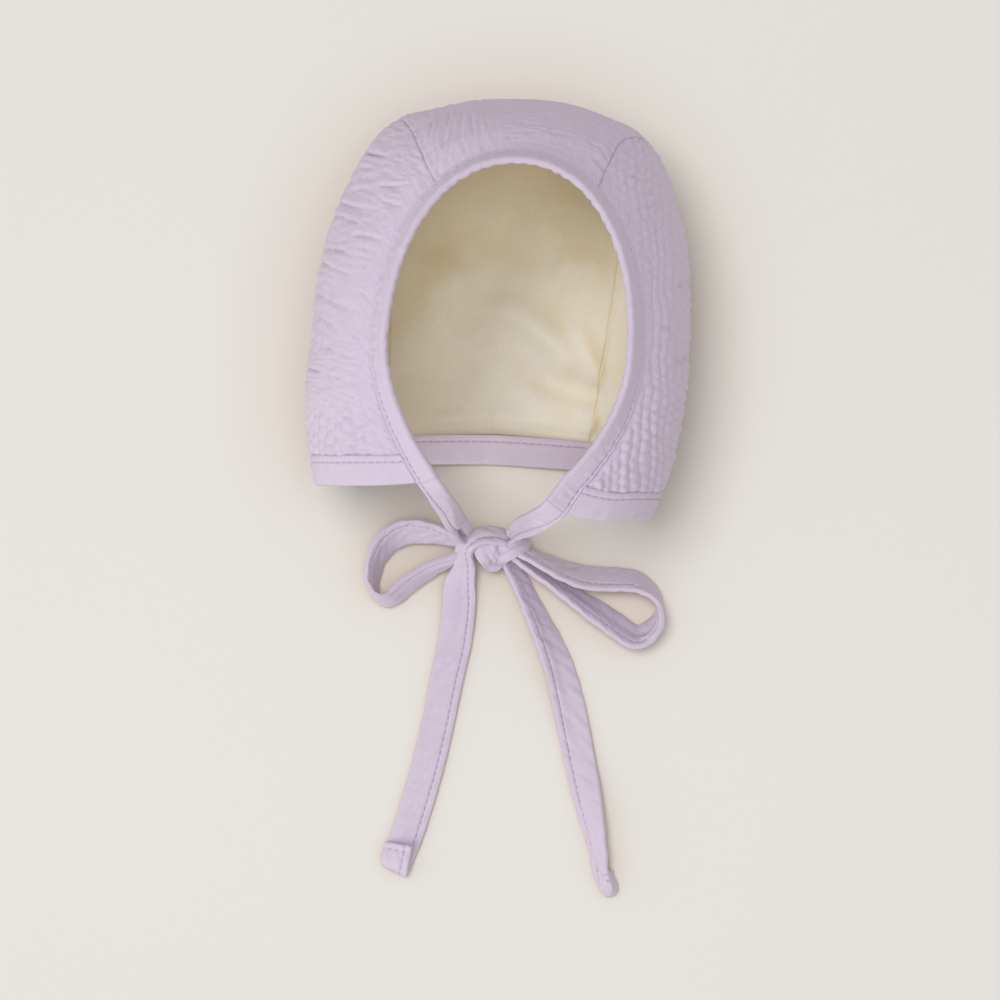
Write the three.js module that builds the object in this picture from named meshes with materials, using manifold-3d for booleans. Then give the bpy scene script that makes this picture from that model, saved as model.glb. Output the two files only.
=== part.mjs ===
// A lined baby bonnet of crinkled cotton gauze, lying on its back with its ties tied in a bow.
// Millimetres. +Z points out of the face opening, +Y from the neck to the crown. Left and right
// are as seen looking into the face opening, so left is -X. The origin is the middle of the flat
// patch on which the back of the bonnet rests.

import * as THREE from 'three';
import { mergeVertices } from 'three/addons/utils/BufferGeometryUtils.js';
import ManifoldModule from 'manifold-3d';

const wasm = await ManifoldModule();
wasm.setup();

// Cloth

const GAP = 0.3;
const OUTER_THICKNESS = 1.3;
const LINING_THICKNESS = 1.0;
const LINING_GAP = 0.5;
const LINING_DEPTH = OUTER_THICKNESS + LINING_GAP;
const BAND_PROUD = 0.2;
const BAND_THICKNESS = 3.0;
const TAPE_THICKNESS = 2.0;

// The hood is a row of hoops from the face rim (along = 0) to the nape (along = 1). Each hoop goes
// from the neck up one side, over the top and down the other side.
// topY, topZ: the hoop's top. wideX, wideY, wideZ: its widest point. neckX, neckY, neckZ: its end,
// on the seam of the neck band. squareness: 2 is an ellipse and more is squarer. corner: how far it
// stands out at the panel seams. seamX: half the width of the centre panel, and seamShift: how far
// that panel sits to the right. shiftX: sideways shift. skew: the slope of the hem in degrees.
// bandTilt, bandRise: how far the neck band leans inwards and forwards as it goes down.
// neckShift: how far the hoop's ends sit to the right of its middle.

const HOOP_COLUMNS = ['along', 'topY', 'topZ', 'wideX', 'wideY', 'wideZ', 'neckX', 'neckY', 'neckZ',
  'squareness', 'corner', 'seamX', 'seamShift', 'shiftX', 'skew', 'bandTilt', 'bandRise', 'neckShift'];
const HOOPS = [
  [0.00, 66.6, 101.0, 45.9, -2.3, 101.0, 27.0, -46.5, 97.5, 2.12, 0.0, 28.9, -0.5, 2.6, 10.0, 0.58, -0.10, -0.5],
  [0.07, 70.2, 92.0, 50.4, -3.0, 92.0, 33.6, -49.6, 93.5, 2.15, 0.0, 30.4, -0.6, 2.6, 10.4, 0.50, -0.08, 0.0],
  [0.14, 78.2, 86.5, 57.5, -5.0, 87.0, 44.0, -51.0, 90.0, 2.28, 0.8, 34.1, -0.6, 2.1, 9.4, 0.50, 0.00, 0.0],
  [0.24, 87.0, 75.0, 66.3, -8.0, 76.0, 55.0, -51.2, 84.0, 2.45, 2.0, 38.8, 0.5, 1.2, 7.6, 0.46, 0.12, 0.0],
  [0.38, 92.9, 52.0, 72.0, -10.5, 58.0, 65.0, -51.2, 69.5, 2.70, 2.8, 46.5, 3.4, 0.0, 6.5, 0.34, 0.30, 0.0],
  [0.54, 84.3, 20.0, 69.6, -8.0, 31.0, 66.0, -51.0, 47.0, 2.68, 2.4, 46.0, 3.0, 0.0, 6.2, 0.24, 0.32, 0.0],
  [0.68, 56.0, 0.8, 61.5, -6.0, 12.0, 61.0, -48.8, 27.0, 2.45, 1.0, 43.5, 2.0, 0.0, 5.0, 0.10, 0.25, 0.0],
  [0.84, 8.0, -0.8, 55.0, -22.0, 6.5, 56.0, -44.6, 13.0, 1.80, 0.0, 41.0, 1.0, 0.0, 3.5, 0.00, 0.10, 0.0],
  [1.00, -35.0, 0.6, 46.5, -37.0, 4.5, 51.0, -41.0, 6.5, 1.25, 0.0, 39.5, 0.0, 0.0, 2.0, 0.00, 0.00, 0.0],
];
const CORNER_SPREAD = 0.085;

// Places on a hoop, as |across|: 0 on its top, 1 at its neck end and more on the neck band.
const SEAM_ACROSS = 0.34;
const WIDE_ACROSS = 0.66;
const BAND_SCALE = 100;

// The binding covers the hoops from the rim to this one.
const BINDING_SEAM = 0.07;
const BAND_WIDTH = 11;

// The lining stops a little short of the neck band, as a share of the hood.
const LINING_END = 0.982;

// The bonnet leans: its middle line bends sideways, more at the hem than at the crown.
const LEAN_CROWN = THREE.MathUtils.degToRad(0.95);
const LEAN_HEM = THREE.MathUtils.degToRad(7.82);
const LEAN_CROWN_Y = 95;
const LEAN_HEM_Y = -60;
const LEAN_AXIS_X = -0.9;

// Soft folds of the outer cloth, as low ridges that run from the face towards the back.
// across: the ridge's place at its front end. drift: how far it has moved across at its back end.
const FOLD_COLUMNS = ['across', 'from', 'to', 'drift', 'width', 'height'];
const LEFT_FOLDS = [
  [-0.405, 0.08, 0.50, 0.030, 0.028, 1.3],
  [-0.500, 0.08, 0.60, 0.040, 0.030, 1.7],
  [-0.600, 0.08, 0.58, 0.045, 0.028, 1.4],
  [-0.700, 0.08, 0.54, 0.030, 0.030, 1.7],
  [-0.805, 0.08, 0.50, 0.000, 0.032, 1.5],
  [-0.915, 0.09, 0.44, -0.010, 0.028, 1.0],
];
const RIGHT_FOLDS = [
  [0.415, 0.08, 0.52, -0.030, 0.030, 1.4],
  [0.520, 0.08, 0.58, -0.030, 0.030, 1.5],
  [0.635, 0.08, 0.56, -0.020, 0.032, 1.6],
  [0.755, 0.08, 0.50, 0.000, 0.032, 1.3],
  [0.880, 0.08, 0.46, 0.010, 0.034, 1.5],
];
const CENTRE_FOLDS = [
  [-0.270, 0.08, 0.46, -0.015, 0.036, 1.4],
  [-0.150, 0.08, 0.36, -0.015, 0.034, 1.0],
  [-0.020, 0.08, 0.32, 0.000, 0.036, 0.9],
  [0.110, 0.08, 0.34, 0.010, 0.034, 1.0],
  [0.200, 0.08, 0.40, 0.010, 0.030, 1.1],
  [0.285, 0.08, 0.48, 0.015, 0.030, 1.5],
];
const FOLD_FADE = 0.06;

// The ribbons of the bow, a row for each place along the middle line. roll is the turn about that
// line, 0 where the ribbon lies flat and 90 where it stands on edge.
const RIBBON_COLUMNS = ['x', 'y', 'z', 'width', 'roll'];
const STRAP_LEFT = [
  [-25.3, -55.2, 94.0, 9.4, 210],
  [-23.4, -59.0, 89.0, 9.4, 198],
  [-20.9, -62.9, 77.0, 9.4, 187],
  [-19.2, -66.6, 58.0, 9.2, 181],
  [-18.0, -68.9, 44.0, 9.0, 180],
  [-16.8, -70.9, 31.0, 8.6, 178],
  [-15.0, -73.5, 18.5, 8.0, 175],
  [-12.5, -75.3, 13.0, 7.0, 170],
];
const STRAP_RIGHT = [
  [17.4, -65.0, 94.0, 9.4, -30],
  [14.4, -66.8, 88.0, 9.4, -18],
  [11.1, -68.0, 75.0, 9.2, -7],
  [7.6, -70.1, 51.0, 9.0, 0],
  [5.0, -71.7, 33.0, 8.4, 2],
  [3.2, -73.2, 21.0, 7.6, 5],
  [1.0, -75.4, 14.0, 6.8, 10],
];
const LOOP_LEFT = [
  [-11.5, -77.4, 12.6, 6.0, 122],
  [-17.0, -76.4, 11.4, 7.5, 126],
  [-24.5, -74.0, 9.6, 10.0, 135],
  [-32.5, -72.4, 8.2, 12.2, 139],
  [-40.5, -73.2, 7.6, 13.0, 140],
  [-47.0, -77.8, 7.2, 13.0, 130],
  [-51.0, -85.0, 7.0, 13.0, 119],
  [-52.0, -92.5, 7.2, 13.0, 108],
  [-49.8, -98.6, 7.8, 12.8, 84],
  [-44.6, -99.2, 7.6, 12.6, 64],
  [-38.5, -94.4, 7.2, 12.4, 58],
  [-32.0, -89.4, 7.4, 11.5, 57],
  [-25.5, -85.8, 8.2, 10.0, 60],
  [-19.0, -83.4, 9.0, 8.0, 62],
  [-11.5, -80.6, 9.4, 6.0, 66],
];
const LOOP_RIGHT = [
  [0.0, -77.6, 12.6, 6.5, 118],
  [9.6, -81.2, 12.2, 8.5, 120],
  [21.8, -87.2, 10.2, 11.5, 128],
  [33.3, -90.8, 8.6, 13.0, 132],
  [43.4, -91.4, 7.8, 13.0, 132],
  [52.8, -92.5, 7.5, 13.0, 126],
  [60.0, -97.0, 7.5, 13.0, 108],
  [62.4, -104.4, 7.6, 13.0, 84],
  [60.2, -111.2, 7.6, 13.0, 66],
  [54.8, -114.4, 7.4, 13.0, 58],
  [47.3, -112.4, 7.2, 13.0, 56],
  [37.6, -106.0, 7.2, 12.5, 58],
  [27.4, -98.8, 7.4, 11.5, 64],
  [17.6, -91.8, 8.2, 9.5, 68],
  [9.4, -86.2, 8.8, 7.5, 68],
  [1.0, -80.4, 9.0, 6.5, 68],
];
const TAIL_LEFT = [
  [-13.5, -79.5, 8.0, 8.5, 4],
  [-15.4, -86.4, 6.4, 10.5, 3],
  [-16.8, -94.7, 4.4, 12.5, 2],
  [-17.6, -103.0, 2.8, 13.5, 0],
  [-19.2, -116.8, 1.6, 13.5, 0],
  [-22.4, -131.5, 1.3, 13.2, 0],
  [-26.1, -149.8, 1.3, 13.0, 0],
  [-29.8, -165.5, 1.3, 13.0, 0],
  [-33.4, -178.2, 1.3, 13.0, 0],
  [-37.3, -191.0, 1.3, 12.8, 0],
  [-40.3, -199.2, 1.6, 12.6, 0],
  [-42.5, -206.8, 2.2, 12.2, 0],
];
const TAIL_RIGHT = [
  [0.5, -80.5, 5.2, 7.0, 150],
  [3.6, -86.8, 5.0, 8.5, 138],
  [7.8, -94.4, 4.8, 10.0, 134],
  [12.3, -103.8, 4.6, 11.0, 136],
  [17.4, -114.6, 4.2, 12.0, 146],
  [22.0, -125.9, 3.2, 12.6, 158],
  [25.5, -138.8, 2.2, 13.0, 170],
  [28.3, -151.9, 1.8, 13.0, 176],
  [30.7, -165.4, 2.0, 12.6, 170],
  [33.1, -178.1, 3.2, 12.3, 150],
  [36.1, -190.7, 4.8, 12.0, 128],
  [38.6, -203.4, 6.0, 11.5, 108],
  [40.6, -210.1, 6.0, 10.0, 98],
  [43.4, -216.1, 5.2, 8.5, 92],
];
// The end of a tail is hemmed: the tape is turned back on itself, so it is thicker there.
const HEM_LENGTH = 9;
const HEM_THICKNESS = 3.6;

// The knot is a lump with the grooves between the turns of tape that make it.
const KNOT = { x: -4.8, y: -78.6, z: 9.2, halfX: 12.6, halfY: 7.8, halfZ: 7.6 };
const KNOT_GROOVE = 0.09;
const KNOT_TURNS = 3;
const KNOT_TWIST = 0.5;

// How fine the faceted surfaces are

const CELLS = {
  side: { along: 15, across: 26 },
  centre: { along: 22, across: 18 },
  sideLining: { along: 12, across: 11 },
  centreLining: { along: 16, across: 8 },
  binding: 46,
  band: 46,
};
const STEPS_PER_ROW = 2;

const LILAC = new THREE.MeshStandardMaterial({ color: 0xd6c8dc, roughness: 0.9, metalness: 0 });
const LILAC_TAPE = new THREE.MeshStandardMaterial({ color: 0xd0c3d6, roughness: 0.85, metalness: 0 });
const CREAM = new THREE.MeshStandardMaterial({ color: 0xd3c7ac, roughness: 0.75, metalness: 0 });

// Tables and curves

function columnOf(table, columns, name) {
  const index = columns.indexOf(name);
  return table.map((row) => row[index]);
}

const HOOP = Object.fromEntries(HOOP_COLUMNS.map((name) => [name, columnOf(HOOPS, HOOP_COLUMNS, name)]));

// A smooth curve through the values at the given places, and its value at one place.
function smoothValue(places, values, place) {
  const last = places.length - 1;
  const at = THREE.MathUtils.clamp(place, places[0], places[last]);
  let k = 0;
  while (k < last - 1 && at >= places[k + 1]) k += 1;
  const chord = (i) => (values[i + 1] - values[i]) / (places[i + 1] - places[i]);
  const slope = (i) => {
    if (i === 0) return chord(0);
    if (i === last) return chord(last - 1);
    const before = places[i] - places[i - 1];
    const after = places[i + 1] - places[i];
    return (chord(i - 1) * after + chord(i) * before) / (before + after);
  };
  const step = places[k + 1] - places[k];
  const u = (at - places[k]) / step;
  const rise = u * u * (3 - 2 * u);
  return values[k] * (1 - rise) + values[k + 1] * rise
    + step * (slope(k) * u * (1 - u) ** 2 - slope(k + 1) * u * u * (1 - u));
}

function hoopAt(along) {
  const hoop = {};
  for (const name of HOOP_COLUMNS) hoop[name] = smoothValue(HOOP.along, HOOP[name], along);
  return hoop;
}

// The surface of the hood

function leaned(hoop, x, y, z) {
  const perMillimetre = (LEAN_HEM - LEAN_CROWN) / (LEAN_CROWN_Y - LEAN_HEM_Y);
  const sideways = (LEAN_CROWN + perMillimetre * LEAN_CROWN_Y) * y - (perMillimetre * y * y) / 2;
  const down = (LEAN_CROWN_Y - y) / (LEAN_CROWN_Y - LEAN_HEM_Y);
  const slope = THREE.MathUtils.lerp(LEAN_CROWN, THREE.MathUtils.degToRad(hoop.skew), down);
  return new THREE.Vector3(x + sideways + LEAN_AXIS_X, y - x * Math.tan(slope), Math.max(z, 0));
}

// A place on a hoop above the neck band, before the lean.
function pointOnHoop(hoop, across) {
  const a = Math.min(Math.abs(across), 1);
  const side = Math.sign(across);
  const power = 2 / hoop.squareness;
  if (a < WIDE_ACROSS) {
    const seamX = hoop.seamX + side * hoop.seamShift;
    const seamAngle = Math.acos((seamX / hoop.wideX) ** (1 / power));
    const angle = a < SEAM_ACROSS
      ? Math.PI / 2 - (Math.PI / 2 - seamAngle) * (a / SEAM_ACROSS)
      : seamAngle * (WIDE_ACROSS - a) / (WIDE_ACROSS - SEAM_ACROSS);
    const up = Math.sin(angle);
    const out = Math.abs(Math.cos(angle));
    const corner = hoop.corner * Math.exp(-(((a - SEAM_ACROSS) / CORNER_SPREAD) ** 2));
    return new THREE.Vector3(
      side * (hoop.wideX * out ** power + corner * out) + hoop.shiftX,
      hoop.wideY + (hoop.topY - hoop.wideY) * up ** power + corner * up,
      hoop.wideZ + (hoop.topZ - hoop.wideZ) * up ** 2,
    );
  }
  const down = (a - WIDE_ACROSS) / (1 - WIDE_ACROSS);
  const bulge = Math.max(hoop.squareness - 0.15, 1);
  return new THREE.Vector3(
    side * (hoop.wideX - (hoop.wideX - hoop.neckX) * down ** bulge) + hoop.shiftX + hoop.neckShift * down,
    hoop.wideY + (hoop.neckY - hoop.wideY) * down,
    hoop.wideZ + (hoop.neckZ - hoop.wideZ) * down ** 1.5,
  );
}

// The way that the neck band goes down from the end of a hoop, before the lean.
function bandDirection(hoop, sideways) {
  return new THREE.Vector3(-hoop.bandTilt * sideways, -1, hoop.bandRise * Math.abs(sideways)).normalize();
}

// A place on the hood. |across| over 1, or along over 1, goes on down the neck band.
function hoodPoint(along, across) {
  const hoop = hoopAt(along);
  const point = pointOnHoop(hoop, across);
  const side = Math.sign(across);
  const belowSide = Math.max(Math.abs(across) - 1, 0) * BAND_SCALE;
  const belowNape = Math.max(along - 1, 0) * BAND_SCALE;
  point.addScaledVector(bandDirection(hoop, side), belowSide);
  point.addScaledVector(bandDirection(hoop, THREE.MathUtils.clamp(across, -1, 1)), belowNape);
  return leaned(hoop, point.x, point.y, point.z);
}

// The seam of the neck band as one line: round from -1 at the left chin corner, over the nape to 1
// at the right chin corner. Gives [along, across] at a drop below that seam.
const NAPE_SHARE = 0.42;
function neckPlace(round, drop = 0) {
  const r = Math.abs(round);
  if (r <= NAPE_SHARE) return [1 + drop / BAND_SCALE, round / NAPE_SHARE];
  const along = 1 - (r - NAPE_SHARE) / (1 - NAPE_SHARE) * (1 - BINDING_SEAM);
  return [along, Math.sign(round) * (1 + drop / BAND_SCALE)];
}
function roundOf(along, across) {
  if (Math.abs(across) < 1) return across * NAPE_SHARE;
  const share = (1 - Math.min(along, 1)) / (1 - BINDING_SEAM);
  return Math.sign(across) * (NAPE_SHARE + share * (1 - NAPE_SHARE));
}

const NUDGE = 0.006;

// The outward direction square to the hood at the neck seam.
function neckNormal(round) {
  const before = hoodPoint(...neckPlace(round - 3 * NUDGE));
  const after = hoodPoint(...neckPlace(round + 3 * NUDGE));
  const below = hoodPoint(...neckPlace(round, 1)).sub(hoodPoint(...neckPlace(round)));
  return after.sub(before).cross(below).normalize();
}

// The outward direction square to the hood.
function hoodNormal(along, across) {
  const onBand = Math.abs(across) >= 1 || along >= 1;
  if (onBand) return neckNormal(roundOf(along, across));
  const behind = hoodPoint(Math.min(along + NUDGE, 1), across);
  const backward = behind.sub(hoodPoint(Math.max(along - NUDGE, 0), across));
  const beside = hoodPoint(along, Math.min(across + NUDGE, 1));
  const sideward = beside.sub(hoodPoint(along, Math.max(across - NUDGE, -1)));
  const free = sideward.cross(backward).normalize();
  const nearSide = 1 - THREE.MathUtils.smoothstep(1 - Math.abs(across), 0, 0.12);
  const nearNape = 1 - THREE.MathUtils.smoothstep(1 - along, 0, 0.1);
  const normal = free.multiplyScalar((1 - nearSide) * (1 - nearNape));
  if (nearSide > 0) normal.addScaledVector(neckNormal(roundOf(along, Math.sign(across))), nearSide);
  if (nearNape > 0) normal.addScaledVector(neckNormal(across * NAPE_SHARE), nearNape * (1 - nearSide));
  return normal.normalize();
}

// A place inside the thickness of the cloth: depth goes inwards from the outer face.
function clothPoint(along, across, depth) {
  return hoodPoint(along, across).addScaledVector(hoodNormal(along, across), -depth);
}

// The height of the soft folds at a place.
function foldHeight(folds, along, across) {
  let height = 0;
  for (const row of folds) {
    const fold = Object.fromEntries(FOLD_COLUMNS.map((name, index) => [name, row[index]]));
    const share = (along - fold.from) / (fold.to - fold.from);
    if (share <= 0 || share >= 1) continue;
    const middle = fold.across + fold.drift * share;
    const fade = THREE.MathUtils.smoothstep(along, fold.from, fold.from + FOLD_FADE)
      * (1 - THREE.MathUtils.smoothstep(share, 0.5, 1));
    height += fold.height * fade * Math.exp(-(((across - middle) / fold.width) ** 2));
  }
  return height;
}

// Half a gap on one side of the seam between the centre and a side panel, as a change of across.
function seamEdge(along, towards) {
  const probe = 0.01;
  const reach = hoodPoint(along, SEAM_ACROSS).distanceTo(hoodPoint(along, SEAM_ACROSS + towards * probe));
  return SEAM_ACROSS + towards * (GAP / 2) * (probe / reach);
}

// Closed meshes

function signedVolume(positions, triangles) {
  let six = 0;
  const corners = [new THREE.Vector3(), new THREE.Vector3(), new THREE.Vector3()];
  for (let i = 0; i < triangles.length; i += 3) {
    for (let k = 0; k < 3; k += 1) corners[k].fromArray(positions, triangles[i + k] * 3);
    six += corners[0].dot(corners[1].cross(corners[2]));
  }
  return six / 6;
}

// A closed geometry from points and triangles, with its faces turned outwards.
function closedGeometry(points, triangles) {
  const positions = points.flatMap((point) => point.toArray());
  if (signedVolume(positions, triangles) < 0) {
    for (let i = 0; i < triangles.length; i += 3) {
      [triangles[i], triangles[i + 1]] = [triangles[i + 1], triangles[i]];
    }
  }
  const geometry = new THREE.BufferGeometry();
  geometry.setAttribute('position', new THREE.Float32BufferAttribute(positions, 3));
  geometry.setIndex(triangles);
  return geometry;
}

// A wall of cloth: pointAt(i, j, face) is a grid point on the outer (0) or inner (1) face.
function clothWall(cellsAlong, cellsAcross, pointAt) {
  const rows = cellsAlong + 1;
  const columns = cellsAcross + 1;
  const points = [];
  const triangles = [];
  for (const face of [0, 1]) {
    for (let i = 0; i < rows; i += 1) {
      for (let j = 0; j < columns; j += 1) points.push(pointAt(i / cellsAlong, j / cellsAcross, face));
    }
  }
  const id = (i, j, face) => face * rows * columns + i * columns + j;
  const quad = (a, b, c, d) => triangles.push(a, b, c, a, c, d);
  for (let i = 0; i < cellsAlong; i += 1) {
    for (let j = 0; j < cellsAcross; j += 1) {
      quad(id(i, j, 0), id(i + 1, j, 0), id(i + 1, j + 1, 0), id(i, j + 1, 0));
      quad(id(i, j, 1), id(i, j + 1, 1), id(i + 1, j + 1, 1), id(i + 1, j, 1));
    }
    quad(id(i, 0, 0), id(i, 0, 1), id(i + 1, 0, 1), id(i + 1, 0, 0));
    quad(id(i, cellsAcross, 0), id(i + 1, cellsAcross, 0), id(i + 1, cellsAcross, 1), id(i, cellsAcross, 1));
  }
  for (let j = 0; j < cellsAcross; j += 1) {
    quad(id(0, j, 0), id(0, j + 1, 0), id(0, j + 1, 1), id(0, j, 1));
    quad(id(cellsAlong, j, 0), id(cellsAlong, j, 1), id(cellsAlong, j + 1, 1), id(cellsAlong, j + 1, 0));
  }
  return closedGeometry(points, triangles);
}

// A solid through a row of rings that have the same number of points, with flat ends.
function throughRings(rings) {
  const sides = rings[0].length;
  const points = rings.flat();
  const triangles = [];
  for (let i = 0; i + 1 < rings.length; i += 1) {
    for (let k = 0; k < sides; k += 1) {
      const next = (k + 1) % sides;
      const a = i * sides + k;
      const b = i * sides + next;
      triangles.push(a, b, b + sides, a, b + sides, a + sides);
    }
  }
  const last = (rings.length - 1) * sides;
  for (let k = 1; k + 1 < sides; k += 1) {
    triangles.push(0, k + 1, k);
    triangles.push(last, last + k, last + k + 1);
  }
  return closedGeometry(points, triangles);
}

function toSolid(geometry) {
  const bare = new THREE.BufferGeometry();
  bare.setAttribute('position', geometry.getAttribute('position').clone());
  bare.setIndex(geometry.getIndex().clone());
  const merged = mergeVertices(bare);
  return new wasm.Manifold(new wasm.Mesh({
    numProp: 3,
    vertProperties: new Float32Array(merged.getAttribute('position').array),
    triVerts: new Uint32Array(merged.getIndex().array),
  }));
}

function toGeometry(solid) {
  const mesh = solid.getMesh();
  const geometry = new THREE.BufferGeometry();
  geometry.setAttribute('position', new THREE.BufferAttribute(new Float32Array(mesh.vertProperties), 3));
  geometry.setIndex(new THREE.BufferAttribute(new Uint32Array(mesh.triVerts), 1));
  return geometry;
}

// Panels and lining

const mix = THREE.MathUtils.lerp;

function sidePanel(side, folds) {
  return clothWall(CELLS.side.along, CELLS.side.across, (i, j, face) => {
    const along = mix(BINDING_SEAM, 1, i ** 1.1);
    const across = side * mix(seamEdge(along, 1), 1, j);
    const depth = face === 0 ? -foldHeight(folds, along, across) : OUTER_THICKNESS;
    return clothPoint(along, across, depth);
  });
}

function centrePanel() {
  return clothWall(CELLS.centre.along, CELLS.centre.across, (i, j, face) => {
    const along = mix(BINDING_SEAM, 1, i);
    const across = (2 * j - 1) * seamEdge(along, -1);
    const depth = face === 0 ? -foldHeight(CENTRE_FOLDS, along, across) : OUTER_THICKNESS;
    return clothPoint(along, across, depth);
  });
}

function sideLining(side) {
  return clothWall(CELLS.sideLining.along, CELLS.sideLining.across, (i, j, face) => {
    const along = mix(BINDING_SEAM, LINING_END, i ** 1.2);
    const across = side * mix(seamEdge(along, 1), LINING_END, j);
    return clothPoint(along, across, LINING_DEPTH + face * LINING_THICKNESS);
  });
}

function centreLining() {
  return clothWall(CELLS.centreLining.along, CELLS.centreLining.across, (i, j, face) => {
    const along = mix(BINDING_SEAM, LINING_END, i ** 1.2);
    const across = (2 * j - 1) * seamEdge(along, -1);
    return clothPoint(along, across, LINING_DEPTH + face * LINING_THICKNESS);
  });
}

// Bands: a ring of eight points round the thickness of a folded band. front and back are its two
// edges, and placeAt turns a share from front to back and a depth into a point.
function bandRing(placeAt) {
  const outside = -BAND_PROUD;
  const inside = BAND_THICKNESS - BAND_PROUD;
  const middle = (outside + inside) / 2;
  const round = 0.5;
  return [
    placeAt(0, middle),
    placeAt(0.08, outside + round),
    placeAt(0.5, outside - BAND_PROUD / 2),
    placeAt(1, outside),
    placeAt(1, middle),
    placeAt(1, inside),
    placeAt(0.5, inside + BAND_PROUD / 2),
    placeAt(0.08, inside - round),
  ];
}

function bindingRing(across) {
  const probe = 0.004;
  const reach = hoodPoint(BINDING_SEAM, across).distanceTo(hoodPoint(BINDING_SEAM - probe, across));
  const backEdge = BINDING_SEAM - GAP * (probe / reach);
  return bandRing((share, depth) => clothPoint(share * backEdge, across, depth));
}

function faceBinding() {
  const reach = 1 + BAND_WIDTH / BAND_SCALE;
  const rings = [bindingRing(-reach), bindingRing(-(1 + reach) / 2)];
  for (let k = 0; k <= CELLS.binding; k += 1) rings.push(bindingRing(mix(-1, 1, k / CELLS.binding)));
  rings.push(bindingRing((1 + reach) / 2), bindingRing(reach));
  return throughRings(rings);
}

function neckBand() {
  const rings = [];
  for (let k = 0; k <= CELLS.band; k += 1) {
    const round = mix(-1, 1, k / CELLS.band);
    rings.push(bandRing((share, depth) => {
      const drop = mix(BAND_WIDTH, GAP, share);
      return clothPoint(...neckPlace(round, drop), depth);
    }));
  }
  return throughRings(rings);
}

// Ribbons

// The eight points of a flat tape's section. facing is 1 or -1: the face that comes first.
function tapeRing(middle, heading, width, thickness, roll, facing) {
  const level = new THREE.Vector3(0, 0, 1).cross(heading).normalize();
  const upright = new THREE.Vector3().crossVectors(heading, level).normalize();
  const turn = THREE.MathUtils.degToRad(roll);
  const across = level.clone().multiplyScalar(Math.cos(turn)).addScaledVector(upright, Math.sin(turn));
  const face = level.clone().multiplyScalar(-Math.sin(turn)).addScaledVector(upright, Math.cos(turn));
  const upperHalf = [[-0.5, 0], [-0.44, 0.5], [0, 0.5], [0.44, 0.5]];
  const section = [...upperHalf, ...upperHalf.map(([w, t]) => [-w, -t])];
  const lowest = Math.min(...section.map(([w, t]) => w * width * across.z + t * thickness * face.z));
  const lift = Math.max(0, 0.05 - lowest - middle.z);
  return section.map(([w, t]) => middle.clone()
    .addScaledVector(across, w * width)
    .addScaledVector(face, t * thickness * facing)
    .add(new THREE.Vector3(0, 0, lift)));
}

// A tape along a table of rows. grow makes it larger all round, and startRing is its first ring
// where it starts at another piece.
function tape(rows, { grow = 0, startRing = null, facing = 1, hem = false } = {}) {
  const places = rows.map((row, index) => index);
  const value = (name, at) => smoothValue(places, columnOf(rows, RIBBON_COLUMNS, name), at);
  const middleAt = (at) => new THREE.Vector3(value('x', at), value('y', at), value('z', at));
  const steps = (rows.length - 1) * STEPS_PER_ROW;
  const end = middleAt(rows.length - 1);
  const rings = startRing ? [startRing] : [];
  for (let k = 0; k <= steps; k += 1) {
    const at = k / STEPS_PER_ROW;
    const middle = middleAt(at);
    const ahead = middleAt(Math.min(at + 0.05, rows.length - 1));
    const heading = ahead.sub(middleAt(Math.max(at - 0.05, 0))).normalize();
    const turnedBack = hem && middle.distanceTo(end) < HEM_LENGTH;
    const thickness = turnedBack ? HEM_THICKNESS : TAPE_THICKNESS;
    const width = value('width', at) + 2 * grow;
    rings.push(tapeRing(middle, heading, width, thickness + 2 * grow, value('roll', at), facing));
  }
  return throughRings(rings);
}

function knotGeometry(grow) {
  const sphere = new THREE.SphereGeometry(1, 24, 14);
  sphere.deleteAttribute('normal');
  sphere.deleteAttribute('uv');
  const geometry = mergeVertices(sphere);
  const place = geometry.getAttribute('position');
  const direction = new THREE.Vector3();
  for (let i = 0; i < place.count; i += 1) {
    direction.fromBufferAttribute(place, i);
    const turn = Math.atan2(direction.z, direction.y) + KNOT_TWIST * direction.x;
    const groove = 1 - KNOT_GROOVE * (0.5 + 0.5 * Math.cos(KNOT_TURNS * turn)) * (1 - direction.x ** 2);
    place.setXYZ(i,
      KNOT.x + direction.x * (KNOT.halfX * groove + grow),
      KNOT.y + direction.y * (KNOT.halfY * groove + grow),
      KNOT.z + direction.z * (KNOT.halfZ * groove + grow));
  }
  return geometry;
}

// The ring where a tie leaves the binding, a gap below the binding's end.
function tieStart(side) {
  return bindingRing(side * (1 + (BAND_WIDTH + GAP) / BAND_SCALE));
}

// Each ribbon is trimmed clear of the knot and of the ribbons before it.
function bow() {
  const ribbons = [
    ['tie_strap_left', STRAP_LEFT, { startRing: tieStart(-1), facing: -1 }],
    ['tie_strap_right', STRAP_RIGHT, { startRing: tieStart(1) }],
    ['bow_loop_left', LOOP_LEFT, {}],
    ['bow_loop_right', LOOP_RIGHT, {}],
    ['tie_tail_left', TAIL_LEFT, { hem: true }],
    ['tie_tail_right', TAIL_RIGHT, { hem: true }],
  ];
  const pieces = [['bow_knot', knotGeometry(0)]];
  let occupied = toSolid(knotGeometry(GAP));
  for (const [name, rows, options] of ribbons) {
    const solid = toSolid(tape(rows, options)).subtract(occupied);
    const largest = solid.decompose().sort((a, b) => b.volume() - a.volume())[0];
    pieces.push([name, toGeometry(largest)]);
    occupied = occupied.add(toSolid(tape(rows, { ...options, grow: GAP })));
  }
  return pieces;
}

// The bonnet

function named(name, geometry, material) {
  const mesh = new THREE.Mesh(geometry, material);
  mesh.name = name;
  return mesh;
}

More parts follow.
